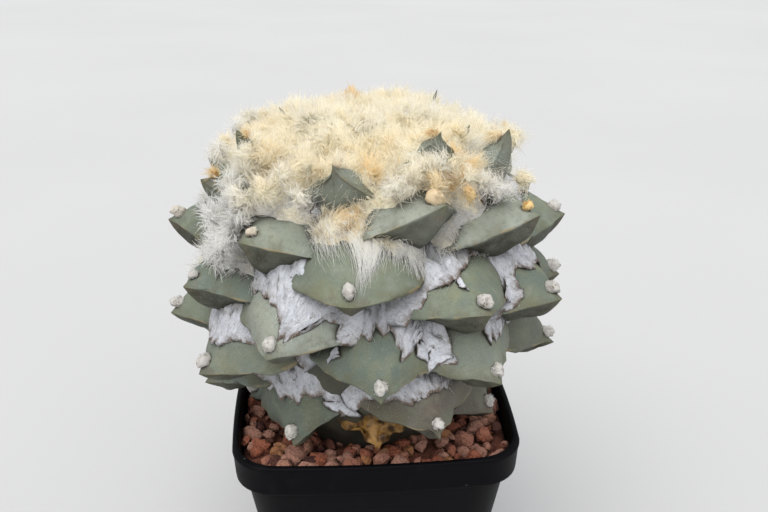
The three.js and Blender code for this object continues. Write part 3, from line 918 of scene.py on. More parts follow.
# Tubercles that point another way, or are fuller near the tip: degrees raised, turned and rolled, fullness
POSTURES: dict[int, tuple[float, float, float, float]] = {
    0: (5, 0, 0, -1), 2: (-8, 0, 0, -1), 5: (5, -6, 0, -1.8), 7: (15, 0, 0, -1.2), 8: (0, 0, 0, -1),
    10: (0, 18, 0, 0.4), 13: (0, 0, 0, 0.3), 15: (0, 6, 0, 0.3), 16: (0, 0, 0, -0.8), 18: (-15, 0, 0, 1.6),
    23: (0, 0, 0, 0.7), 26: (-13, 0, 0, 0.3), 31: (0, 0, 0, -0.4), 33: (0, 0, 0, -0.8), 36: (0, 0, 0, 0),
    41: (0, 0, 0, -0.6), 44: (0, 0, 0, -0.5), 47: (-10, 16, 20, -0.4)}
# Up to this one the young tubercles are narrow near the tip, and a later one is up to this much fuller
LAST_NARROW = 6
NARROW = -1.0
FULLEST = 0.5


@dataclass(frozen=True)
class Tubercle:
    """One beaked tubercle: its tip, the directions of its length, width and rise, and its sizes in mm."""

    number: int
    tip: Array
    axis: Array
    side: Array
    rise: Array
    half_width: float
    length: float
    keel_depth: float
    full: float

    @classmethod
    def placed(cls, number: int, growth: Growth) -> "Tubercle":
        """Place one tubercle of the spiral.

        The azimuth turns by the golden angle for each number, the tip drops by a fixed step, and reach,
        tilt, length and width follow the height.

        Args:
            number: Its place in the spiral, 0 for the first one with a full areole.
            growth: How the tubercles change.

        Returns:
            The tubercle.
        """
        turn, lift, out = STRAYS.get(number, (0.0, 0.0, 0.0))
        azimuth = math.radians(growth.first_azimuth - GOLDEN_ANGLE * number + turn)
        if number < 0:
            height = growth.young_height + lift
            reach = growth.young_reach + growth.young_step * number
            narrowing = growth.young_width + growth.young_narrowing * number
        else:
            height = growth.top_tip - growth.drop * number + growth.lean * math.sin(azimuth) + lift
            reach = linear(growth.reach, height)
            narrowing = 1.0
        drawn = NARROW if number <= LAST_NARROW else FULLEST * float(chance(number, 6))
        nod, twist, roll, full = POSTURES.get(number, (0.0, 0.0, 0.0, drawn))
        tilt = math.radians(linear(growth.tilt, height) + nod)
        roll = math.radians(roll)
        forward = outward(azimuth + math.radians(twist))
        side = np.cross(UP, forward)
        rise = UP * math.cos(tilt) - forward * math.sin(tilt)
        half_width = linear(growth.half_width, height) * narrowing
        half_width *= 1 + growth.width_spread * spread(number, 2)
        return cls(
            number=number,
            tip=outward(azimuth) * (reach + out) + UP * (height + RIM_HEIGHT),
            axis=forward * math.cos(tilt) + UP * math.sin(tilt),
            side=side * math.cos(roll) + rise * math.sin(roll),
            rise=rise * math.cos(roll) - side * math.sin(roll),
            half_width=half_width,
            length=linear(growth.length, height) * (1 + growth.length_spread * spread(number, 1)),
            keel_depth=half_width * linear(growth.keel, height),
            full=full)

    def half(self, along: Array) -> Array:
        """Half the width at a share of the length, in mm: the width shape, raised to a power if full."""
        return self.half_width * follow(WIDTH_SHAPE, along) ** (1 - FULL_POWER * self.full)

    def at(self, along: Array, sideways: Array, raised: Array) -> Array:
        """Points at a share of the length behind the tip, and mm sideways and up."""
        return (self.tip - along[..., None] * self.length * self.axis + sideways[..., None] * self.side
                + raised[..., None] * self.rise)

    def face(self, along: Array, across: Array, lift: Numbers = 0.0) -> Array:
        """The upper face: an arch whose width, rise and droop grow from the tip to the root.

        The rise is its middle value times 1 - |across|^2.2, less the edge's droop times |across|^2.2.

        Args:
            along: The share of the length behind the tip.
            across: From -1 at the left edge to 1 at the right one.
            lift: Height above the skin.

        Returns:
            The points.
        """
        along, across, lift = np.broadcast_arrays(np.asarray(along, float), across, lift)
        fall = np.abs(across) ** FACE_ROUNDNESS
        raised = self.half_width * (RISE_RATIO * follow(RISE_SHAPE, along) * (1 - fall)
                                    - follow(DROOP_SHAPE, along) * fall)
        return self.at(along, across * self.half(along), raised + lift)

    def under(self, along: Array, across: Array) -> Array:
        """The two lower faces, which fall from the edges to a narrow rounded keel.

        They drop by the edge's droop times the distance from the middle, rounded there, and by the
        keel's depth times a power of the rest.

        Args:
            along: The share of the length behind the tip.
            across: From -1 at the left edge to 1 at the right one.

        Returns:
            The points.
        """
        flat = np.sqrt(across ** 2 + KEEL_ROUNDING) / math.sqrt(1 + KEEL_ROUNDING)
        edge = self.half_width * follow(DROOP_SHAPE, along)
        keel = self.keel_depth * follow(KEEL_SHAPE, along)
        raised = -edge * flat - keel * (1 - flat) ** KEEL_POWER
        return self.at(along, across * self.half(along), raised)


# How much painted light or painted shade single tubercles get, how much pinkish brown the old ones have,
# and the withered one
PAINTED_LIGHT_AND_SHADE = {47: -0.4, 44: -0.2, 31: -0.06, 36: 0.12, 28: -0.02, 10: 0.5, 15: 0.45, 13: 0.25, 26: 0.5,
          18: -0.05, 23: 0.0, 7: 0.3, 5: 0.3, 2: 0.2, 0: -0.1}
BLUSH = {36: 0.15, 41: 0.35, 42: 0.0, 44: 0.9, 46: 0.5, 47: 0.0, 49: 0.85, 50: 0.0, 52: 0.4, 54: 1.0}
WITHERED = 52


@dataclass
class Flesh:
    """The green body: its stem and its tubercles, with their skin's small unevenness."""

    tubercles: list[Tubercle]
    material: Material
    stations: int = 24
    face_columns: int = 21
    under_columns: int = 15
    root: float = 0.98
    old: tuple[int, int] = (30, 54)
    areole_setback: float = 3.6
    dent_depth: float = 0.55
    dent_half_length: float = 2.2
    dent_half_width: float = 2.4
    stem_rows: int = 50
    stem_columns: int = 72
    stem_profile: Table = ((-58, 0), (-57, 6), (-34, 17), (-12, 25), (0, 29), (15, 37), (38, 43), (60, 43),
                           (73, 39), (81, 36), (86, 31), (89.5, 22), (91, 0))

    def skin(self, tubercle: Tubercle) -> Patch:
        """One tubercle's closed skin: rings of the arch and the keel from the tip to the root.

        The stations crowd towards the tip, and the columns towards the edges. Waves push the skin in and
        out along its normal, more on old tubercles, the edges have a small lip, and the areole sits in a
        shallow dent. What is near an edge falls off by exp(-(distance / width)^2).

        Args:
            tubercle: The tubercle.

        Returns:
            The closed patch with the values that its colours follow.
        """
        number = tubercle.number
        along = (self.root * np.linspace(0, 1, self.stations) ** 1.7)[:, None]
        over = -np.cos(np.linspace(0, np.pi, self.face_columns))[None, :]
        beneath = np.cos(np.linspace(0, np.pi, self.under_columns + 2))[None, 1:-1]
        points = np.concatenate([tubercle.face(along, over), tubercle.under(along, beneath)], 1)
        across = np.broadcast_to(np.concatenate([over, beneath], 1), points.shape[:2])
        from_edge = 1 - np.abs(across)
        below = np.zeros_like(across)
        below[:, self.face_columns:] = 1.0
        normals = grid_normals(points)
        centre = points.mean(1, keepdims=True)
        normals *= np.sign(((points - centre) * normals).sum(-1).mean())
        age = np.clip((number - self.old[0]) / (self.old[1] - self.old[0]), 0, 1)
        shrivel = 1.0 if number == WITHERED else 0.0
        relief = (0.35 + 0.35 * age) * waves(points, 13, 11) + (0.10 + 0.2 * age) * waves(points, 4.5, 12)
        relief += shrivel * (0.9 * waves(points * [1, 1, 2.4], 5, 13) - 1.5)
        behind = along * tubercle.length
        dent = np.exp(-(((behind - self.areole_setback) / self.dent_half_length) ** 2
                        + (across * tubercle.half(along) / self.dent_half_width) ** 2))
        lip = np.exp(-(from_edge / 0.10) ** 2) * (1 - below)
        relief += lip * (0.35 + 0.3 * waves(points, 7, 14)) - self.dent_depth * dent * (1 - below)
        points = points + normals * (relief * np.clip(along * 6, 0, 1))[..., None]
        root = np.broadcast_to(points[-1].mean(0), points[-1:].shape)
        # How much browner skin and painted shade the underside takes, less on young tubercles; the deep
        # value is painted shade towards the root.
        sunk = linear(((0, 0.1), (8, 0.4), (11, 1.0)), number)
        varied = {
            "edge": np.exp(-(from_edge / 0.05) ** 2),
            "band": np.exp(-(from_edge / 0.2) ** 2) * np.clip(along * 4, 0, 1),
            "under": sunk * below * (1 - np.exp(-(from_edge / 0.12) ** 2)),
            "near_tip": np.exp(-behind / 2.6) * np.ones_like(across),
            "deep": np.where(below > 0, follow(((0, 0), (0.4, 0), (0.85, 1)), along),
                             follow(((0, 0), (0.72, 0), (0.95, 1)), along))}
        values = {key: np.concatenate([value, value[-1:]]) for key, value in varied.items()}
        # Painted light or painted shade on this tubercle; the age value says how much painted shade it
        # takes in nooks.
        shade = PAINTED_LIGHT_AND_SHADE.get(number, 0.12 * spread(number, 9))
        values |= {
            "blush": BLUSH.get(number, 0.9 * age * chance(number, 7)),
            "age": linear(((4, 0.2), (12, 1.0)), number),
            "withered": shrivel,
            "blue": 0.35 * spread(number, 8),
            "light": max(shade, 0.0),
            "dark": max(-shade, 0.0)}
        return grid(np.concatenate([points, root]), values)

    def stem(self) -> Patch:
        """The stem and taproot: the profile turned round the axis, with waves on it.

        Returns:
            The closed patch, with the same values as the skins.
        """
        foot, top = self.stem_profile[0][0], self.stem_profile[-1][0]
        height = np.concatenate([np.linspace(foot, top - 1, self.stem_rows), [top]])[:, None]
        radius = follow(self.stem_profile, height)
        angle = even_angles(self.stem_columns)
        points = round_axis(angle, radius, height)
        swell = 0.6 * waves(points, 9, 15) * np.clip(radius / 8, 0, 1)
        none = ("edge", "band", "under", "near_tip", "withered", "blue", "light", "dark")
        # The stem takes full painted shade in nooks and much painted shade for lying deep.
        values = dict.fromkeys(none, 0.0) | {"age": 1.0, "deep": 0.75, "blush": 0.5}
        return grid(points + outward(angle) * swell[..., None], values)

    def build(self) -> None:
        """Make the flesh as one piece."""
        make_piece("cactus_flesh", [self.stem()] + [self.skin(each) for each in self.tubercles],
                   self.material, "cactus", Slot.FLESH)


# Where the old felt ends on the tubercles that the photo shows: across and share of the length
FELT_ENDS: Tables = {
    23: ((-1, 0.45), (-0.9, 0.41), (-0.68, 0.42), (-0.52, 0.38), (-0.38, 0.37), (-0.25, 0.38), (-0.11, 0.4),
         (0.11, 0.46), (0.4, 0.58), (0.72, 0.68), (0.85, 0.62), (0.92, 0.45), (1, 0.28)),
    26: ((-1, 0.72), (-0.6, 0.6), (-0.38, 0.5), (-0.08, 0.41), (0.08, 0.34), (0.18, 0.27), (0.27, 0.19),
         (0.5, 0.175), (0.64, 0.2), (0.68, 0.32), (0.71, 0.5), (0.82, 0.52), (0.92, 0.47), (1, 0.45)),
    28: ((-1, 0.4), (-0.89, 0.3), (-0.7, 0.35), (-0.4, 0.45), (-0.08, 0.32), (0.3, 0.36), (0.54, 0.34),
         (0.8, 0.5), (1, 0.62)),
    31: ((-1, 0.78), (-0.8, 0.68), (-0.54, 0.57), (-0.4, 0.57), (-0.32, 0.54), (-0.2, 0.48), (-0.1, 0.51),
         (0.01, 0.53), (0.18, 0.53), (0.27, 0.5), (0.4, 0.43), (0.52, 0.37), (0.6, 0.34), (0.65, 0.42),
         (0.69, 0.56), (0.76, 0.62), (0.82, 0.57), (0.9, 0.53), (1, 0.5)),
    34: ((-1, 0.5), (-0.6, 0.4), (-0.3, 0.33), (0, 0.28), (0.3, 0.27), (0.4, 0.36), (0.54, 0.42),
         (0.61, 0.49), (0.8, 0.62), (1, 0.75)),
    36: ((-1, 0.5), (-0.93, 0.44), (-0.88, 0.38), (-0.8, 0.35), (-0.7, 0.38), (-0.6, 0.5), (-0.45, 0.64),
         (-0.2, 0.62), (-0.05, 0.45), (0.04, 0.39), (0.19, 0.34), (0.35, 0.36), (0.49, 0.38), (0.7, 0.5),
         (1, 0.62)),
    47: ((-1, 0.85), (-0.57, 0.69), (-0.33, 0.56), (-0.17, 0.45), (0.04, 0.45), (0.15, 0.42), (0.26, 0.39),
         (0.36, 0.46), (0.52, 0.49), (0.66, 0.49), (0.79, 0.44), (0.86, 0.43), (0.9, 0.48), (0.95, 0.42),
         (1, 0.4)),
    44: ((-1, 0.62), (-0.85, 0.52), (-0.73, 0.45), (-0.66, 0.37), (-0.6, 0.34), (-0.52, 0.36),
         (-0.36, 0.35), (-0.11, 0.36), (0.24, 0.39), (0.5, 0.42), (0.62, 0.56), (0.8, 0.8), (1, 0.9)),
}
# The first tubercle with old felt, and the older ones whose wool is still soft
FIRST_FELTED = 17
DRIFTED = (18, 21)


@dataclass(frozen=True)
class Flake:
    """A loose flake of felt on a tubercle: its middle as on a face, its half sizes and its height."""

    number: int
    across: float
    along: float
    half_across: float
    half_along: float
    height: float

    def lens(self, tubercle: Tubercle) -> Patch:
        """The flake: a thin wavy lens whose edges curl up with the square of the radius.

        Args:
            tubercle: The tubercle that it lies on.

        Returns:
            The closed patch.
        """
        turn = even_angles(22)[None, :]
        radius = np.array([0, 0.35, 0.7, 1.0, 0.7, 0.35, 0])[:, None]
        level = np.array([0.22, 0.22, 0.18, 0, -0.18, -0.22, -0.22])[:, None]
        wobble = 1 + 0.22 * np.sin(3 * turn + 9 * self.across) + 0.13 * np.sin(7 * turn + 5 * self.along)
        width = tubercle.half(np.array(self.along))
        reach = radius * wobble
        place = tubercle.face(self.along + reach * np.sin(turn) * self.half_along / tubercle.length,
                              self.across + reach * np.cos(turn) * self.half_across / width)
        lift = self.height + level + 0.9 * radius ** 2 * np.sin(2 * turn + self.across)
        return grid(place + tubercle.rise * lift[..., None], {
            "frayed": np.clip(3 * radius - 2.1, 0, 1),
            "across_m": MM * self.half_across * radius * np.cos(turn),
            "along_m": MM * self.half_along * radius * np.sin(turn)})


FLAKES = (Flake(36, -0.86, 0.47, 2.6, 2.2, 1.7), Flake(31, 0.88, 0.52, 3.2, 2.2, 1.6),
          Flake(47, 1.0, 0.46, 3.0, 1.6, 1.4), Flake(31, -0.82, 0.5, 2.0, 1.2, 1.0),
          Flake(13, 0.62, 0.62, 2.8, 2.8, 2.6), Flake(15, -0.3, 0.42, 4.2, 1.8, 2.6),
          Flake(23, -0.3, 0.3, 0.8, 1.7, 0.6), Flake(49, -0.4, 0.5, 2.6, 1.8, 1.2),
          Flake(42, 0.3, 0.45, 2.8, 1.6, 1.2))


@dataclass
class Felt:
    """The sheets of old matted wool in the axils, each a closed plate over its tubercle's face."""

    tubercles: list[Tubercle]
    felt: Material
    fibre: Material
    columns: int = 64
    rows: int = 11
    reach_across: float = 1.08
    root: float = 0.95
    thickness: float = 1.35
    filling: float = 5.5
    sunk: float = 0.3
    knots: int = 9
    notch: float = 0.12
    fibres: int = 70
    fibre_width: float = 0.07
    seed: int = 31

    def end(self, tubercle: Tubercle, across: Array) -> Array:
        """Where the felt ends: a smooth line from the table, or drawn for the others, made ragged by waves.

        Args:
            tubercle: The tubercle.
            across: From -1 at the left edge of its face to 1 at the right one.

        Returns:
            The share of the length behind the tip.
        """
        number = tubercle.number
        knots = np.linspace(-1, 1, self.knots)
        drawn = 0.54 + 0.13 * spread(number, 40 + np.arange(float(self.knots))) + 0.04 * (1 - knots ** 2)
        drawn[int((self.knots - 1) * chance(number, 39))] -= self.notch
        line = follow(FELT_ENDS.get(number, list(zip(knots, drawn))), across)
        place = np.stack([across * tubercle.half_width, np.full_like(across, 9.0 * number), 0 * across], -1)
        return line + 0.022 * waves(place, 4, 21) + 0.009 * waves(place, 1.8, 22)

    def depth(self, t: Array) -> Array:
        """How thick the felt is from its end at 0 to its root at 1: a fast rise, then a slow filling."""
        return self.thickness * (1 - np.exp(-9 * t)) + self.filling * t ** 1.6

    def sheet(self, tubercle: Tubercle) -> Patch:
        """One sheet: the face lifted by the felt's depth and by creases, with an end that curls up.

        Args:
            tubercle: The tubercle that it lies on.

        Returns:
            The closed patch.
        """
        across = np.linspace(-self.reach_across, self.reach_across, self.columns)[None, :]
        t = np.linspace(0, 1, self.rows)[:, None] ** 1.3
        end = self.end(tubercle, across)
        along = end + (np.maximum(self.root, end + 0.03) - end) * t
        flat = tubercle.face(along, across)
        side = np.sqrt(np.clip(1 - (np.abs(across) / 1.09) ** 8, 0, 1))
        flow = np.stack([(across + 0.25 * t) * tubercle.half_width, 0.3 * along * tubercle.length,
                         np.full_like(along, 7.0 * tubercle.number)], -1)
        crease = 0.55 * (1 - 2 * np.abs(waves(flow, 5, 26, 5))) + 0.3 * waves(flow, 2.2, 27)
        puff = (self.depth(t) + (0.4 * waves(flat, 6, 23) + crease) * np.clip(4 * t, 0.2, 1)) * side
        curl = 0.7 * np.exp(-t * 12) * (1.1 + waves(flat, 6, 25))
        points = closed_plate(flat + tubercle.rise * (0.25 + puff + curl)[..., None],
                              flat + tubercle.rise * (curl - self.sunk)[..., None])
        frayed = np.exp(-((along - end) * tubercle.length) / 1.1) * np.ones_like(across)
        pairs = {
            "frayed": [frayed, frayed[:, ::-1]],
            "across_m": [across * tubercle.half_width * MM + 0 * t] * 2,
            "along_m": [along * tubercle.length * MM] * 2}
        return grid(points, {key: np.pad(np.concatenate(pair, 1), ((1, 1), (0, 0)), "edge")
                             for key, pair in pairs.items()})

    def fringe(self, tubercle: Tubercle, rng: Draws) -> Patch:
        """Loose fibres at the ragged end and over the sheet.

        Each starts on the sheet and runs down the face with a little sway, rising and falling back by a
        half sine. Four in five start over the sheet and are longer, the others at its end.

        Args:
            tubercle: The tubercle.
            rng: Where the draws come from.

        Returns:
            The fibres.
        """
        count = self.fibres
        across = rng.uniform(-0.95, 0.95, count)
        end = self.end(tubercle, across)
        loose = rng.random(count) < 0.8
        start = end + np.where(loose, rng.uniform(0.06, 0.4, count), rng.uniform(0.0, 0.05, count))
        length = rng.uniform(0.8, 2.2, count) * np.where(loose, 1.5, 0.5) / tubercle.length
        t = np.linspace(0, 1, 4)
        sway = rng.normal(0, 0.09, count)
        along = start[:, None] - length[:, None] * t
        side = np.clip(across[:, None] + sway[:, None] * (t + t ** 2), -1, 1)
        share = np.clip((along - end[:, None]) / (self.root - end[:, None]), 0, 1)
        rise = np.sin(np.pi * t) * rng.uniform(0.05, 0.4, count)[:, None]
        paths = tubercle.face(along, side, 0.55 + self.depth(share) + rise)
        facing = np.broadcast_to(unit(tubercle.rise + 0.5 * tubercle.axis), (count, 3))
        return ribbons(paths, self.fibre_width * np.array([1.0, 0.9, 0.7, 0.25]), facing, {
            "tone": rng.uniform(0.0, 0.22, count),
            "soil_and_shade": np.where(loose, 0, rng.random(count) ** 2 * 0.5)})

    def build(self) -> None:
        """Make the sheets and flakes as one piece and the loose fibres as another."""
        felted = [each for each in self.tubercles
                  if each.number >= FIRST_FELTED and each.number not in (*DRIFTED, WITHERED)]
        by_number = {each.number: each for each in self.tubercles}
        flakes = [flake.lens(by_number[flake.number]) for flake in FLAKES]
        make_piece("axil_felt", [self.sheet(each) for each in felted] + flakes, self.felt, "cactus")
        rng = np.random.default_rng(self.seed)
        make_piece("axil_felt_fibres", [self.fringe(each, rng) for each in felted], self.fibre, "cactus",
                   closed=False)


# Areole tufts of another size than the rule gives, and of another share of gold
AREOLE_SIZES = {10: 1.3, 13: 0.8, 15: 0.7, 44: 0.75, 54: 0.6, 21: 0.7, 8: 0.9}
AREOLE_GOLD = {10: 0.62, 15: 1.0, 5: 0.5, 8: 0.85, 3: 0.6, 12: 0.6}


@dataclass(frozen=True)
class Tuft:
    """A kind of areole tuft: how full and long its ball is, its soil and painted shade, and its fibres and
    where they start.
    """

    ball: float
    stretch: float
    soil_and_shade: float
    fibres: int
    fibre_root: float
    fibre_length: float


GOLDEN_TUFT = Tuft(ball=0.6, stretch=0.0, soil_and_shade=0.1, fibres=240, fibre_root=0.4, fibre_length=2.6)
WHITE_TUFT = Tuft(ball=0.85, stretch=0.3, soil_and_shade=0.9, fibres=130, fibre_root=0.7, fibre_length=0.8)


@dataclass
class Areoles:
    """The tufts near the tips: a lumpy ball with short curled fibres."""

    tubercles: list[Tubercle]
    tuft_finish: Material
    fibre: Material
    radius: float = 2.0
    setback: float = 3.3
    lift: float = 0.55
    fibre_width: float = 0.26
    last_golden: int = 9
    rear_puff: int = -7
    seed: int = 51

    def tone(self, number: int) -> float:
        """How golden a tuft is: gold when young, yellowish, then white."""
        return AREOLE_GOLD.get(number, linear(((0, 0.82), (6, 0.72), (12, 0.35), (18, 0.04)), number))

    def tuft(self, tubercle: Tubercle, rng: Draws) -> tuple[Patch, Patch]:
        """One tuft: a sphere pushed about by waves, and fibres that leave it in all upward directions.

        Args:
            tubercle: The tubercle that carries it.
            rng: Where the draws come from.

        Returns:
            The ball and the fibres.
        """
        number = tubercle.number
        kind = GOLDEN_TUFT if number <= self.last_golden else WHITE_TUFT
        size = self.radius * min(1.0, tubercle.half_width / 12) * (1 + 0.14 * spread(number, 50))
        size *= AREOLE_SIZES.get(number, 1.0)
        centre = tubercle.face(np.array([self.setback / tubercle.length]), np.zeros(1), self.lift)[0]
        ball = sphere(11, 16)
        places = ball * 5 + 20 * number
        lumps = (1 + 0.16 * waves(places, 6, 41) + 0.05 * waves(places, 3, 42)) * kind.ball
        stretched = ball + kind.stretch * (ball @ tubercle.axis)[..., None] * tubercle.axis
        # Soil mixed with painted shade: more in the hollows between lumps and on the lower side.
        soil_and_shade = 0.08 - 1.6 * (lumps / lumps.mean() - 1) - 0.3 * (ball @ tubercle.rise)
        body = grid(centre + stretched * (size * lumps)[..., None], {
            "tone": self.tone(number), "soil_and_shade": np.clip(soil_and_shade * kind.soil_and_shade, 0, 0.6)})
        count = kind.fibres
        way = unit(rng.normal(size=(count, 3)) + 0.9 * (tubercle.rise + 0.3 * tubercle.axis))
        root = centre + way * size * kind.fibre_root
        long = rng.uniform(0.5, 1.0, count) * kind.fibre_length
        tone = np.clip(self.tone(number) + rng.normal(0, 0.07, count), 0, 1)
        return body, fleece(root, way, rng, long, tone, 210 + number, self.fibre_width, 1.1,
                            0.25 * rng.random(count) ** 4)

    def build(self) -> None:
        """Make all tufts as two pieces."""
        rng = np.random.default_rng(self.seed)
        balls, fibres = zip(*(
            self.tuft(each, rng) for each in self.tubercles
            if (each.number >= 0 or each.number == self.rear_puff) and each.number != WITHERED))
        make_piece("areole_tufts", balls, self.tuft_finish, "cactus")
        make_piece("areole_fibres", fibres, self.fibre, "cactus", closed=False)


# Hairs that hang over the faces: how many, how long in mm, and how golden
CURTAINS: dict[int, tuple[int, float, float]] = {
    18: (950, 11, 0.2), 10: (500, 6, 0.3), 5: (250, 6, 0.35), 13: (800, 7, 0.15), 8: (600, 8, 0.35),
    15: (400, 5, 0.15), 16: (900, 9, 0.1), 21: (1500, 10, 0.1), 23: (260, 5, 0.1), 26: (160, 4, 0.1)}
# Where hairs hang together, as seen in the photo: across, length in mm, share of the hairs, sway
CLUMPS: Tables = {
    18: ((-0.85, 7, 0.05, -0.2), (-0.5, 9, 0.08, 0.1), (-0.34, 12, 0.06, 0.14), (-0.16, 13, 0.11, 0.45),
         (-0.04, 17, 0.15, 0.42), (0.14, 17, 0.14, 0.24), (0.32, 14, 0.15, 0.02), (0.52, 10, 0.1, 0.1),
         (0.75, 7, 0.1, 0.2), (0.95, 4, 0.06, 0.1))}


@dataclass
class Curtains:
    """Long loose hairs that come out of the axils and lie down over the faces."""

    tubercles: list[Tubercle]
    fibre: Material
    first: int = 2
    last: int = 26
    clumps: int = 12
    hair_length: float = 6.5
    hair_width: float = 0.075
    seed: int = 61

    def kind(self, number: int) -> tuple[int, float, float]:
        """How many hairs an axil has, how long they are in mm and how golden, from the table or by age."""
        return CURTAINS.get(number, (int(linear(((12, 380), (24, 160)), number)), self.hair_length,
                                     linear(((2, 0.4), (16, 0.1)), number)))

    def hang(self, tubercle: Tubercle, rng: Draws) -> Patch:
        """The hairs of one axil.

        They start in clumps near the root of the face, run down it with a shared sway and a small one of
        their own, and rise off the skin by a half sine.

        Args:
            tubercle: The tubercle.
            rng: Where the draws come from.

        Returns:
            The hairs.
        """
        count, long, gold = self.kind(tubercle.number)
        drawn = [(rng.uniform(-0.95, 0.95), long * rng.uniform(0.5, 1.15), rng.uniform(0.3, 1),
                  rng.normal(0, 0.15)) for _ in range(self.clumps)]
        table = np.array(CLUMPS.get(tubercle.number, drawn))
        which = rng.choice(len(table), count, p=table[:, 2] / table[:, 2].sum())
        middle, longest, _, turn = table[which].T
        across = np.clip(middle + rng.normal(0, 0.07, count), -1.02, 1.02)[:, None]
        start = rng.uniform(0.62, 0.86, count)[:, None]
        t = np.linspace(0, 1, 4)[None, :]
        reach = (longest * rng.uniform(0.3, 1.0, count) ** 0.6 / tubercle.length)[:, None]
        sway = (turn + rng.normal(0, 0.07, count))[:, None]
        bend = rng.normal(0, 0.035, count)[:, None]
        wave = bend * np.sin(2 * np.pi * t + rng.uniform(0, 6, count)[:, None])
        side = np.clip(across + sway * t ** 1.5 + wave, -1.08, 1.08)
        rise = rng.uniform(0.1, 1.6, count)[:, None]
        lift = 0.3 + rise * np.sin(np.pi * t ** 0.8) + 1.6 * (1 - t) ** 1.5
        paths = tubercle.face(np.clip(start - reach * t, 0.02, 1), side, lift)
        facing = unit(tubercle.rise + 0.6 * tubercle.axis) + rng.normal(0, 0.25, (count, 3))
        tone = np.clip(gold + rng.normal(0, 0.1, count), 0, 1)
        return ribbons(paths, self.hair_width * np.array([1, 1, 0.8, 0.2]), facing, {
            "tone": tone[:, None] * (1.3 - 0.9 * t), "soil_and_shade": 0.0})

    def build(self) -> None:
        """Make the hairs of all the younger axils as one piece."""
        rng = np.random.default_rng(self.seed)
        young = [each for each in self.tubercles if self.first <= each.number <= self.last]
        make_piece("axil_hairs", [self.hang(each, rng) for each in young], self.fibre, "cactus",
                   closed=False)


# Where the wool that lies over the faces of young tubercles starts: across and share of the length
DRIFT_STARTS: Tables = {
    5: ((-1, 0.42), (0, 0.3), (1, 0.42)), 7: ((-1, 0.62), (0.3, 0.5), (1, 0.4)),
    10: ((-1, 0.64), (-0.7, 0.6), (-0.58, 0.38), (0, 0.34), (1, 0.4)),
    13: ((-1, 0.42), (-0.54, 0.36), (0.22, 0.36), (0.5, 0.45), (0.62, 0.6), (0.8, 0.6), (1, 0.55)),
    15: ((-1, 0.62), (-0.77, 0.54), (-0.68, 0.44), (-0.43, 0.37), (0.2, 0.33), (1, 0.45)),
    16: ((-1, 0.5), (0, 0.36), (1, 0.5)),
    18: ((-1, 0.8), (-0.6, 0.66), (-0.34, 0.55), (0, 0.52), (0.5, 0.56), (0.7, 0.62), (1, 0.66)),
    21: ((-1, 0.3), (-0.54, 0.26), (0, 0.3), (0.5, 0.36), (0.72, 0.5), (1, 0.6))}
# How thick that wool gets at the root, how that varies across the face, how golden it is, and the one
# that is golden in its middle only
DRIFT_DEPTHS = {2: 4.0, 5: 4.0, 7: 4.0, 8: 6.0, 10: 9.0, 13: 6.5, 15: 6.0, 16: 6.0, 18: 5.0, 21: 7.0}
DRIFT_RIDGES: Tables = {18: ((-1, 0.9), (-0.6, 0.3), (0.1, 0.3), (0.3, 1.3), (0.7, 1.5), (1, 1.0))}
DRIFT_GOLD = {18: 0.8, 10: 0.42, 13: 0.2, 15: 0.2, 16: 0.12, 21: 0.08, 12: 0.3}
GOLD_IN_MIDDLE = 18


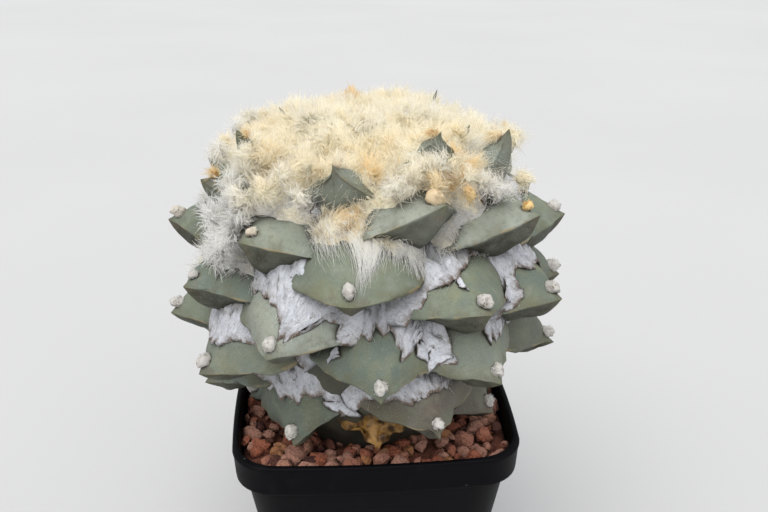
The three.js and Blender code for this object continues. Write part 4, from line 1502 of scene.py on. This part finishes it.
@dataclass
class Drifts:
    """Wool over the faces of the young tubercles: a lumpy blanket on each, under a fleece."""

    tubercles: list[Tubercle]
    core: Material
    locks: Material
    columns: int = 40
    rows: int = 12
    last: int = 16
    last_clean: int = 8
    root: float = 1.0
    thin: float = 1.3
    depth: float = 5.0
    sunk: float = 1.2
    fibres: int = 2300
    seed: int = 181

    def start(self, number: int, across: Array) -> Array:
        """Where the wool starts along a face: from the table or a shallow arc, with a slow wave.

        Args:
            number: The tubercle's number.
            across: From -1 at the left edge to 1 at the right one.

        Returns:
            The share of the length behind the tip.
        """
        flat = (0.36 if number <= self.last_clean else 0.45) + 0.08 * across ** 2
        line = follow(DRIFT_STARTS[number], across) if number in DRIFT_STARTS else flat
        place = np.stack([across * 14, np.full_like(across, 11.0 * number), 0 * across], -1)
        return line + 0.02 * waves(place, 5, 61)

    def top(self, tubercle: Tubercle, across: Array, t: Array) -> Array:
        """Points on top of the wool: the face lifted by a depth that grows to the root, with lumps.

        Args:
            tubercle: The tubercle under it.
            across: From -1 at the left edge to 1 at the right one.
            t: From 0 where the wool starts to 1 at the root.

        Returns:
            The points.
        """
        start = self.start(tubercle.number, across)
        flat = tubercle.face(start + (self.root - start) * t, across)
        deep = DRIFT_DEPTHS.get(tubercle.number, self.depth)
        if tubercle.number in DRIFT_RIDGES:
            deep = deep * follow(DRIFT_RIDGES[tubercle.number], across)
        lift = self.thin * (1 - np.exp(-6 * t)) + deep * t ** 1.3
        lift = lift + (0.7 * waves(flat, 8, 62) + 0.35 * waves(flat, 3.5, 63)) * np.clip(3 * t, 0.1, 1)
        side = np.sqrt(np.clip(1 - (np.abs(across) / 1.02) ** 8, 0, 1))
        return flat + tubercle.rise * np.maximum(lift * side, 0.1)[..., None]

    def gold(self, tubercle: Tubercle, points: Array) -> Array:
        """How golden the wool is: the tubercle's own share and waves.

        Args:
            tubercle: The tubercle under it.
            points: Where it is wanted.

        Returns:
            The shares, from 0 to 1.
        """
        by_age = linear(((0, 0.5), (8, 0.4), (16, 0.15)), tubercle.number)
        own = DRIFT_GOLD.get(tubercle.number, by_age)
        if tubercle.number == GOLD_IN_MIDDLE:
            own = own * np.exp(-((((points - tubercle.tip) @ tubercle.side) / 11 + 0.05) ** 2))
        return np.clip(own + 0.1 * waves(points, 9, 64) + 0.06 * waves(points, 4, 65), 0, 1)

    def blanket(self, tubercle: Tubercle) -> Patch:
        """The closed lumpy blanket of one face.

        Args:
            tubercle: The tubercle under it.

        Returns:
            The blanket.
        """
        across = np.linspace(-0.98, 0.98, self.columns)[None, :]
        t = np.linspace(0, 1, self.rows)[:, None] + 0 * across
        under = self.start(tubercle.number, across) * (1 - t) + self.root * t
        points = closed_plate(self.top(tubercle, across + 0 * t, t),
                              tubercle.face(under, across) - self.sunk * tubercle.rise)
        return grid(points, {"tone": self.gold(tubercle, points)})

    def fleece(self, tubercle: Tubercle, rng: Draws) -> Patch:
        """The fibres of one face, which lie outward over the blanket.

        Args:
            tubercle: The tubercle under them.
            rng: Where the draws come from.

        Returns:
            The fibres.
        """
        count = int(self.fibres * tubercle.half_width / 18)
        across = rng.uniform(-1, 1, count)
        t = rng.uniform(0, 1, count) ** 1.3
        root = self.top(tubercle, across, t) - tubercle.rise * rng.uniform(-0.1, 0.4, count)[:, None]
        out = unit(0.8 * tubercle.rise + 0.8 * tubercle.axis + 0.4 * across[:, None] * tubercle.side)
        tone = np.clip(self.gold(tubercle, root) + rng.normal(0, 0.05, count), 0, 1)
        soil_and_shade = np.clip(0.55 * waves(root, 5, 67) + 0.25 * waves(root, 2, 68) - 0.12, 0, 0.5)
        soil_and_shade = soil_and_shade * (tubercle.number > self.last_clean)
        return fleece(root, out, rng, rng.uniform(1.2, 3.2, count), tone, 180, lying=1.2, soil_and_shade=soil_and_shade)

    def build(self) -> None:
        """Make the blankets and the fleece as two pieces."""
        rng = np.random.default_rng(self.seed)
        drifted = [each for each in self.tubercles
                   if 0 <= each.number <= self.last or each.number in DRIFTED]
        make_piece("drift_wool", [self.blanket(each) for each in drifted], self.core, "crown_wool")
        make_piece("drift_fleece", [self.fleece(each, rng) for each in drifted], self.locks, "crown_wool",
                   closed=False)


# Puffs of wool among the young tubercles: degrees round from the front, mm from the axis, height above the
# rim and size in mm, and how golden; those in the photo first, then two at the rear, and the rest by rule
PUFFS = [(-44, 42, 88.6, 5, 0.62), (-49, 45, 85.6, 4, 0.3), (-50, 41, 91, 4, 0.42),
         (-49, 45, 89, 3.5, 0.35), (-51, 50, 82, 4, 0.15), (-42, 53, 80, 4, 0.3), (-36, 51, 83, 4, 0.5),
         (-32, 47, 86, 4, 0.35), (-26, 43, 88, 4, 0.55), (14, 45, 90, 4, 0.35), (19, 46, 89.4, 4, 0.3),
         (26, 45, 89, 3.5, 0.55), (17, 49, 85.4, 3.5, 0.7), (27, 51, 82, 2.8, 0.85), (10, 47, 88, 4, 0.4),
         (5, 49.5, 85.4, 4, 0.3), (33, 49.5, 84.6, 3, 0.3), (36, 50.5, 82.4, 3.5, 0.2),
         (54, 50, 81, 3.5, 0.55), (-1, 43, 87.5, 2.3, 0.8), (-45, 54, 79, 4, 0.1),
         (-50, 56, 74.3, 4.5, 0.05), (-45, 56, 70, 5, 0.05), (-47, 58, 64.6, 4.2, 0.1),
         (-42, 54, 75.5, 4, 0.1), (-23, 51.5, 83, 3, 0.3), (40, 52, 80.8, 3, 0.15), (28, 49, 86, 3, 0.4),
         (-154, 11, 94.6, 3.8, 0.9), (-154, 11, 97, 2.6, 0.95)]
PUFFS += [(78 + 12 * i + 3 * spread(i, 31), 43 + 3 * spread(i, 32),
           86 - 2.5 * spread(i, 32) + spread(i, 33), 3.8 + 0.7 * spread(i, 34),
           0.35 + 0.25 * spread(i, 35)) for i in range(1, 18)]


@dataclass(frozen=True)
class Puff:
    """A round puff of matted wool: its middle and radius in mm, how golden it is, and its number."""

    centre: Array
    size: float
    gold: float
    number: int
    fibre_share: float = 24.0
    fibre_width: float = 0.30

    def ball(self) -> Patch:
        """The ball inside: a sphere pushed about by waves.

        Returns:
            The ball.
        """
        ball = sphere(10, 16)
        lumps = 0.45 + 0.12 * waves(ball * 4 + 9.0 * self.number, 5, 191)
        return grid(self.centre + ball * (self.size * lumps)[..., None], {"tone": self.gold})

    def fleece(self, rng: Draws) -> Patch:
        """The fibres, which leave it all round and curl, as many as its surface holds.

        Args:
            rng: Where the draws come from.

        Returns:
            The fibres.
        """
        count = int(self.fibre_share * self.size ** 2)
        out = unit(rng.normal(size=(count, 3)) + 0.35 * UP)
        root = self.centre + out * self.size * rng.uniform(0.3, 0.85, count)[:, None]
        tone = np.clip(self.gold + rng.normal(0, 0.06, count), 0, 1)
        long = self.size * rng.uniform(0.35, 0.7, count)
        return fleece(root, out, rng, long, tone, 200, self.fibre_width, 2.2)


@dataclass
class Puffs:
    """All puffs of wool."""

    core: Material
    locks: Material
    seed: int = 195

    def build(self) -> None:
        """Make the balls and their fibres as two pieces."""
        rng = np.random.default_rng(self.seed)
        angle, radius, height, size, gold = np.array(PUFFS).T
        puffs = [Puff(*each) for each in zip(round_axis(np.radians(angle), radius, height), size, gold,
                                             range(len(PUFFS)))]
        make_piece("puff_wool", [puff.ball() for puff in puffs], self.core, "crown_wool")
        make_piece("puff_fleece", [puff.fleece(rng) for puff in puffs], self.locks, "crown_wool",
                   closed=False)


# Golden tufts on the crown: degrees round from the front, mm from the axis, size in mm, how golden
GOLDEN_TUFTS = [(-52, 38, 6, 0.5), (-86, 29, 6, 0.35), (-94, 35, 4, 0.4), (-15, 31, 6, 0.25),
                (-7, 37, 6, 0.2), (5, 28, 6, 0.2), (-1, 40, 3.5, 0.35), (27, 30, 3, 0.7),
                (23, 41, 5, 0.4), (35, 43, 5, 0.6), (34, 37, 4, 0.4), (-29, 39, 5, 0.25),
                (77, 38, 6, 0.3), (-154, 10, 4, 0.4), (150, 26, 7, 0.2), (170, 38, 6, 0.4),
                (-157, 40, 6, 0.4), (125, 38, 6, 0.3)]
# Bulges of the crown: degrees round from the front, mm from the axis, size and height in mm
BULGES = [(-31, 19, 6, 3.4), (-60, 18, 5, 2.6), (-94, 23, 5, 2.8), (54, 30, 5, 3.4), (53, 13, 5, 2.6),
          (150, 25, 8, 2.0), (-50, 37, 5, 1.6), (10, 36, 6, 1.6), (30, 40, 5, 1.6)]


@dataclass
class CrownWool:
    """The cream wool over the growing point: a lumpy core, a fleece of curled fibres, and wisps."""

    core: Material
    locks: Material
    fibre: Material
    profile: Table = ((77, 0), (77.2, 30), (78.5, 39.5), (80.5, 41), (83, 40.6), (86, 37.6), (89.3, 31),
                      (92.8, 22.6), (94.7, 12), (95.4, 0))
    widest: int = 3
    rows: int = 64
    columns: int = 180
    sunk: float = 1.2
    swell_centre: float = 60.0
    fleece_pieces: int = 3
    fleece_fibres: int = 22000
    fleece_width: float = 0.38
    fleece_seed: int = 100
    wisps: int = 3600
    wisp_tufts: int = 70
    wisp_width: float = 0.075
    wisp_seed: int = 91

    def place(self, angle: Array, share: Array) -> tuple[Array, Array]:
        """Points on the core and the directions out of it.

        The height follows the profile above its widest place, and the direction is square to it.

        Args:
            angle: Round the axis, 0 at the front, in radians.
            share: From 0 at the top to 1 at the skirt, by the area seen from above.

        Returns:
            The points and the unit directions.
        """
        table = [(across, height) for height, across in self.profile[:self.widest - 1:-1]]
        radius = self.profile[self.widest][1] * np.sqrt(np.clip(share, 0, 1))
        slope = (follow(table, radius + 0.2) - follow(table, radius - 0.2)) / 0.4
        points = round_axis(angle, radius, follow(table, radius))
        return points, unit(UP - outward(angle) * slope[..., None])

    def near(self, points: Array, table: Table) -> Array:
        """The sum of round bumps at a table's places, seen from above.

        Args:
            points: Where it is wanted.
            table: Degrees round from the front, mm from the axis, size in mm and height of each bump.

        Returns:
            The sum of height times exp(-(distance / size)^2).
        """
        angle, radius, size, height = np.array(table, float).T
        x, y = radius * np.sin(np.radians(angle)), -radius * np.cos(np.radians(angle))
        far = np.hypot(points[..., 0, None] - x, points[..., 1, None] - y)
        return (height * np.exp(-(far / size) ** 2)).sum(-1)

    def lumps(self, points: Array) -> Array:
        """How far the wool swells at a place."""
        return 1.0 * waves(points, 16, 71) + 0.7 * waves(points, 7, 72) + self.near(points, BULGES)

    def gold(self, points: Array) -> Array:
        """How golden the wool is at a place, from 0 to 1: waves, and more at the golden tufts."""
        shade = 0.4 + 0.09 * waves(points, 15, 73) + 0.07 * waves(points, 5, 74)
        return np.clip(shade + 0.8 * self.near(points, GOLDEN_TUFTS), 0, 1)

    def body(self) -> Patch:
        """The core: the profile turned round the axis in even steps along it, swollen by waves.

        Returns:
            The closed core.
        """
        knots = np.array(self.profile, float)
        run = np.concatenate([[0], np.cumsum(np.hypot(*np.diff(knots, axis=0).T))])
        t = np.linspace(0, 1, self.rows)[:, None]
        height, radius = (follow(list(zip(run / run[-1], column)), t) for column in knots.T)
        angle = even_angles(self.columns)
        points = round_axis(angle, radius, height)
        away = unit(points - UP * (RIM_HEIGHT + self.swell_centre))
        swell = self.lumps(points) - self.sunk + 0.5 * waves(points, 2.6, 75)
        share = np.clip((height - self.profile[0][0]) / 3, 0, 1)
        points = points + away * (swell * share * np.clip(radius / 4, 0, 1))[..., None]
        return grid(points, {"tone": self.gold(points)})

    def fleece(self, seed: int) -> Patch:
        """Curled fibres all over the core, which lie in tufts.

        Args:
            seed: Which set of draws.

        Returns:
            The fibres.
        """
        rng = np.random.default_rng(seed)
        count = self.fleece_fibres
        angle = rng.uniform(0, 2 * np.pi, count)
        place, out = self.place(angle, rng.uniform(0, 1, count) ** 0.92)
        root = place + out * (self.lumps(place) - 1.4)[:, None]
        tone = np.clip(self.gold(place) + rng.normal(0, 0.04, count), 0, 1)
        return fleece(root, out, rng, rng.uniform(1.5, 3.9, count), tone, 80, self.fleece_width)

    def hanging(self) -> Patch:
        """Longer hairs round the skirt, which leave it in tufts and fall with the square of the way.

        Returns:
            The hairs.
        """
        rng = np.random.default_rng(self.wisp_seed)
        count, tufts = self.wisps, self.wisp_tufts
        middle = rng.uniform(0, 2 * np.pi, tufts)
        which = rng.integers(0, tufts, count)
        angle = middle[which] + rng.normal(0, 0.05, count)
        place, out = self.place(angle, rng.uniform(0.72, 1.0, count))
        forward = outward(angle)
        turn = rng.normal(0, 0.5, tufts)[which] + rng.normal(0, 0.25, count)
        around = np.cross(UP, forward) * turn[:, None]
        way = unit(0.7 * out + 0.6 * forward + around + 0.15 * rng.normal(size=(count, 3)))
        long = (rng.uniform(4, 11, tufts)[which] * rng.uniform(0.5, 1.2, count))[:, None, None]
        t = np.linspace(0, 1, 6)[None, :, None]
        curl = 0.12 * rng.normal(size=(count, 1, 3))
        curl = curl * np.sin(2 * np.pi * t + rng.uniform(0, 6, (count, 1, 1)))
        paths = place[:, None] - out[:, None] + long * (way[:, None] * t - 0.55 * UP * t ** 2 + curl)
        tone = np.clip(self.gold(place) - 0.05 + rng.normal(0, 0.1, count), 0, 1)
        width = self.wisp_width * np.array([1, 1, 0.95, 0.8, 0.6, 0.2])
        return ribbons(paths, width, unit(out + forward), {
            "tone": tone[:, None] * (1.1 - 0.5 * t[..., 0]), "soil_and_shade": 0.0})

    def build(self) -> None:
        """Make the core, the fleece in a few pieces, and the wisps."""
        make_piece("crown_wool_core", [self.body()], self.core, "crown_wool")
        for part in range(self.fleece_pieces):
            make_piece(f"crown_wool_fleece_{part + 1}", [self.fleece(self.fleece_seed + part)], self.locks,
                       "crown_wool", closed=False)
        make_piece("crown_wool_wisps", [self.hanging()], self.fibre, "crown_wool", closed=False)


# The pot and its gravel

@dataclass
class Pot:
    """A square nursery pot with round corners, bowed sides, a rim band, a lip and drain holes."""

    material: Material
    rim_half: float = 45.0
    rim_corner: float = 13.0
    base_corner: float = 10.0
    bow: float = 1.2
    floor: float = 1.6
    hole_radius: float = 3.0
    hole_pitch: float = 19.0
    hole_points: int = 20
    profile: Table = ((29.8, 0), (30.6, 0.25), (31.0, 0.9), (31.15, 1.6), (41.6, 68.3), (41.95, 68.9),
                      (42.6, 69.4), (43.8, 69.9), (44.2, 70.35), (44.3, 71), (44.72, 78.2), (44.95, 78.9),
                      (44.95, 79.5), (44.7, 79.9), (44.2, 80), (43.6, 80), (43.2, 79.8), (42.95, 79.3),
                      (42.2, 70.6), (41.8, 70.0), (40.65, 69.3), (40.4, 68.6), (29.95, 1.6))
    inside: Table = ((1.6, 29.95), (68.6, 40.4), (70.6, 42.2), (79.3, 42.95))

    def inside_half(self, height: float) -> float:
        """Half the width inside the wall at a height."""
        return linear(self.inside, height)

    def ring(self, half: float, height: float) -> Array:
        """One square ring of points: four bowed sides joined by quarter circles.

        Args:
            half: Half the width at the middle of a side.
            height: Its height.

        Returns:
            The points in order, anticlockwise from above.
        """
        corner = self.base_corner + (self.rim_corner - self.base_corner) * height / RIM_HEIGHT
        centre = half - self.bow - corner
        run = 2 * np.linspace(0, 1, 13)[:-1] - 1
        side = np.stack([half - self.bow * run ** 2, centre * run], -1)
        turn = np.linspace(0, np.pi / 2, 11)[:-1]
        arc = np.stack([centre + corner * np.cos(turn), centre + corner * np.sin(turn)], -1)
        x, y = np.concatenate([side, arc]).T
        flat = np.concatenate([np.stack([x * cos - y * sin, x * sin + y * cos], -1)
                               for cos, sin in ((1, 0), (0, 1), (-1, 0), (0, -1))])
        return np.concatenate([flat, np.full((len(flat), 1), height)], 1)

    def hole_rims(self, height: float) -> list[Array]:
        """The drain holes' circles at a height, at the places of a three by three grid but its middle.

        Args:
            height: The height.

        Returns:
            The points of each circle.
        """
        turn = even_angles(self.hole_points)
        circle = np.stack([np.cos(turn), np.sin(turn), 0 * turn], -1) * self.hole_radius
        return [circle + [x * self.hole_pitch, y * self.hole_pitch, height]
                for x in (-1, 0, 1) for y in (-1, 0, 1) if x or y]

    def floor_plate(self, half: float, height: float) -> Patch:
        """A flat plate inside one ring, with round holes: its outline and holes cut into triangles.

        Args:
            half: Half the width of the ring.
            height: Its height.

        Returns:
            The plate, each triangle with its last corner twice.
        """
        loops = [self.ring(half, height), *self.hole_rims(height)]
        triangles = np.array(tessellate_polygon([[tuple(point) for point in loop] for loop in loops]))
        faces = np.concatenate([triangles, triangles[:, -1:]], 1)
        return Patch(np.concatenate(loops), faces, {})

    def build(self) -> None:
        """Make the wall, the floor's two faces and the walls of its holes as one piece."""
        wall = grid(np.stack([self.ring(*level) for level in self.profile]), {})
        holes = [grid(np.stack(rims), {}) for rims in zip(self.hole_rims(0.0), self.hole_rims(self.floor))]
        plates = [self.floor_plate(*level) for level in (self.profile[0], self.profile[-1])]
        make_piece("nursery_pot", [wall, *plates, *holes], self.material, "pot", Slot.PLASTIC)


@dataclass
class Gravel:
    """Crushed lava: angular grains over a thin bed."""

    pot: Pot
    material: Material
    top: float = 74.4
    bottom: float = 70.95
    pitch: float = 7.2
    row_share: float = 0.87
    scatter: float = 1.3
    radius: float = 3.1
    radius_spread: float = 0.22
    small_shifts: tuple[tuple[float, float, float], ...] = ((3.4, 2.2, 0.2), (1.2, 4.4, 0.2))
    small_share: float = 0.62
    numbered_by: int = 40
    stem_clearance: float = 25.0
    corner_clearance: float = 54.0
    corner_start: float = 29.0
    corner_radius: float = 13.2
    gap: float = 0.35
    planes: int = 10
    least_cosine: float = 0.15
    farthest: float = 1.15
    cream_place: tuple[float, float] = (0.5, -39.5)
    bed_rings: int = 16
    seed: int = 7

    def spots(self) -> tuple[Array, Array, Array]:
        """The grains' middles and sizes: shifted rows with a scatter, and small grains in the gaps.

        Returns:
            The middles, the radii, and a number for each grain.
        """
        rows = math.ceil(2 * self.pot.rim_half / self.pitch)
        row, column = np.meshgrid(np.arange(-rows, rows + 1), np.arange(-rows, rows + 1), indexing="ij")
        number = ((row + rows) * self.numbered_by + column + rows).ravel().astype(float)
        across = ((column + np.fmod(row, 2) / 2) * self.pitch).ravel()
        deep = (row * self.pitch * self.row_share).ravel()
        large = np.stack([across + spread(number, 1) * self.scatter,
                          deep + spread(number, 2) * self.scatter,
                          self.top + 0.3 + 0.9 * spread(number, 4)], -1)
        sets = [(large, self.radius * (1 + self.radius_spread * spread(number, 3)), number)]
        for layer, shift in enumerate(self.small_shifts, 1):
            scatter = np.stack([spread(number, 10 * layer + part) for part in (0, 1, 2)], -1)
            radius = self.radius * (self.small_share + 0.2 * spread(number, 5 + layer))
            sets.append((large + shift + scatter * [1.2, 1.2, 0.8], radius, number + 5000 * layer))
        places, sizes, names = (np.concatenate(part) for part in zip(*sets))
        aside = np.abs(places[:, :2])
        far = np.hypot(places[:, 0], places[:, 1])
        in_walls = aside.max(1) < self.pot.inside_half(self.top) - 0.75 * sizes
        past_corner = np.hypot(*np.clip(aside - self.corner_start, 0, None).T)
        in_corner = past_corner < self.corner_radius - 0.6 * sizes
        kept = in_walls & (far > self.stem_clearance) & (far < self.corner_clearance) & in_corner
        return places[kept], sizes[kept], names[kept]

    def grains(self) -> Patch:
        """All grains: spheres cut by flat planes, so that every direction reaches the nearest plane.

        The radius in a direction is the least of the plane distances over the cosines to their normals.
        Each grain is stretched, and turned by a unit quaternion's formula.

        Returns:
            The grains as one patch.
        """
        places, sizes, names = self.spots()
        rng = np.random.default_rng(self.seed)
        one = grid(sphere(7, 9), {})
        count, corners = len(places), len(one.points)
        planes = unit(rng.normal(size=(count, self.planes, 3)))
        distance = rng.uniform(0.55, 1.0, (count, self.planes))
        cosine = np.einsum("vk,gpk->gvp", one.points, planes)
        to_plane = distance[:, None] / np.maximum(cosine, self.least_cosine)
        reach = np.where(cosine > self.least_cosine, to_plane, self.farthest)
        reach = np.minimum(reach.min(-1), self.farthest)
        stretch = 1 + 0.25 * rng.uniform(-1, 1, (count, 1, 3))
        points = one.points * reach[..., None] * stretch * sizes[:, None, None]
        spin = rng.normal(size=(count, 4))
        spin /= np.linalg.norm(spin, axis=1, keepdims=True)
        w, vector = spin[:, :1, None], spin[:, None, 1:]
        twice = 2 * np.cross(np.broadcast_to(vector, points.shape), points)
        points = points + w * twice + np.cross(np.broadcast_to(vector, points.shape), twice)
        points = points + places[:, None]
        limit = self.pot.inside_half(self.top) - self.gap
        points[..., :2] = np.clip(points[..., :2], -limit, limit)
        cream = np.zeros(count)
        cream[np.argmin(np.hypot(*(places[:, :2] - self.cream_place).T))] = 1.0
        faces = (one.faces[None] + (np.arange(count) * corners)[:, None, None]).reshape(-1, 4)
        return Patch(points.reshape(-1, 3), faces, {
            "tone": np.repeat(chance(names, 8), corners), "cream": np.repeat(cream, corners)})

    def bed(self) -> Patch:
        """The thin bed under the grains: a plate of shrinking rings that fills the pot's inside, rippled.

        Returns:
            The bed.
        """
        share = np.concatenate([[0.0, 1.0, 1.0], np.linspace(0.94, 0, self.bed_rings)])
        height = np.concatenate([[self.bottom, self.bottom, self.top - 1.0],
                                 np.full(self.bed_rings, self.top - 0.6)])
        outline = self.pot.ring(self.pot.inside_half(self.bottom) - self.gap, 0.0)
        rings = np.stack([outline * [each, each, 0] for each in share])
        rings[..., 2] = height[:, None]
        rings[3:-1, :, 2] += 0.5 * waves(rings[3:-1], 4, 9)
        return grid(rings, {"tone": 0.12, "cream": 0.0})

    def build(self) -> None:
        """Make the bed and the grains as two pieces."""
        make_piece("lava_bed", [self.bed()], self.material, "lava_gravel", Slot.LAVA)
        make_piece("lava_grains", [self.grains()], self.material, "lava_gravel", Slot.LAVA,
                   shading=Shading.FACETED)


# The studio

@dataclass(frozen=True)
class Lamp:
    """A wide soft light: degrees from straight above, degrees round from the front, power, degrees wide."""

    name: str
    lean: float
    pan: float
    power: float
    width: float
    colour: Colour

    def build(self) -> None:
        """Hang the light, which reaches everything alike."""
        lamp = bpy.data.lights.new(self.name, "SUN")
        lamp.angle = math.radians(self.width)
        lamp.energy = self.power
        lamp.color = self.colour
        holder = bpy.data.objects.new(self.name, lamp)
        holder.rotation_euler = (math.radians(self.lean), 0, math.radians(self.pan))
        bpy.context.scene.collection.objects.link(holder)


@dataclass(frozen=True)
class Studio:
    """A pale floor, soft lights and the camera at the photo's viewing angle."""

    focal: float = 850.0
    frame_width: float = 768.0
    sensor: float = 36.0
    eye: Colour = (-0.0135, -0.2504, 0.2277)
    pitch: float = 21.7
    yaw: float = 4.07
    floor_size: float = 9.0
    floor_light: Colour = (0.50, 0.498, 0.50)
    floor_dark: Colour = (0.484, 0.482, 0.483)
    lamps: tuple[Lamp, ...] = (
        Lamp("key", 28, -25, 2.15, 50, (1.0, 0.99, 0.97)),
        Lamp("fill", 62, 20, 0.55, 70, (0.97, 0.985, 1.0)),
        Lamp("overhead", 0, 0, 1.5, 150, (0.98, 0.99, 1.0)))
    sky: Colour = (0.95, 0.97, 1.0)
    sky_strength: float = 0.43

    def floor(self) -> None:
        """A large flat sheet that is not part of the object."""
        half = self.floor_size / 2
        mesh = bpy.data.meshes.new("floor")
        mesh.from_pydata([(-half, -half, 0), (half, -half, 0), (half, half, 0), (-half, half, 0)], [],
                         [(0, 1, 2, 3)])
        look = Look("floor", self.floor_dark)
        look.cover(self.floor_light, look.noise(400, 2).step(0.3, 0.7))
        mesh.materials.append(look.dress(0.9))
        sheet = bpy.data.objects.new("floor", mesh)
        bpy.context.scene.collection.objects.link(sheet)

    def camera(self) -> None:
        """The camera, with the angle and focal length that the pot's rim gives."""
        lens = bpy.data.cameras.new("camera")
        lens.sensor_width = self.sensor
        lens.lens = self.focal / self.frame_width * self.sensor
        lens.clip_start = 0.01
        holder = bpy.data.objects.new("camera", lens)
        holder.location = self.eye
        holder.rotation_euler = (math.radians(90 - self.pitch), 0, math.radians(-self.yaw))
        bpy.context.scene.collection.objects.link(holder)
        bpy.context.scene.camera = holder

    def build(self) -> None:
        """Set up the camera, the floor, the lights and the sky."""
        self.camera()
        self.floor()
        for lamp in self.lamps:
            lamp.build()
        world = bpy.data.worlds.new("sky")
        world.use_nodes = True
        backdrop = world.node_tree.nodes["Background"]
        backdrop.inputs["Color"].default_value = (*self.sky, 1.0)
        backdrop.inputs["Strength"].default_value = self.sky_strength
        bpy.context.scene.world = world
        bpy.context.scene.view_settings.view_transform = "Standard"


def main() -> None:
    """Build the studio, the pot, the gravel and the plant."""
    logging.basicConfig(level=logging.INFO, format="%(name)s: %(message)s", stream=sys.stdout)
    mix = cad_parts["potting_mix"]
    mix.data.materials.clear()
    mix.data.materials.append(MixFinish().material())
    growth = Growth()
    tubercles = [Tubercle.placed(number, growth) for number in range(growth.youngest, growth.last + 1)
                 if number != growth.absent]
    fibre = FibreFinish().material()
    locks = FibreFinish("wool_locks", strands=True).material()
    core = WoolCoreFinish().material()
    pot = Pot(PlasticFinish().material())
    parts = (Studio(), pot, Gravel(pot, LavaFinish().material()),
             Flesh(tubercles, FleshFinish().material()),
             Felt(tubercles, FeltFinish().material(), fibre),
             Areoles(tubercles, TuftFinish().material(), locks), Curtains(tubercles, fibre),
             Drifts(tubercles, core, locks), Puffs(core, locks), CrownWool(core, locks, fibre))
    for part in parts:
        part.build()


if __name__ == "__main__":
    main()
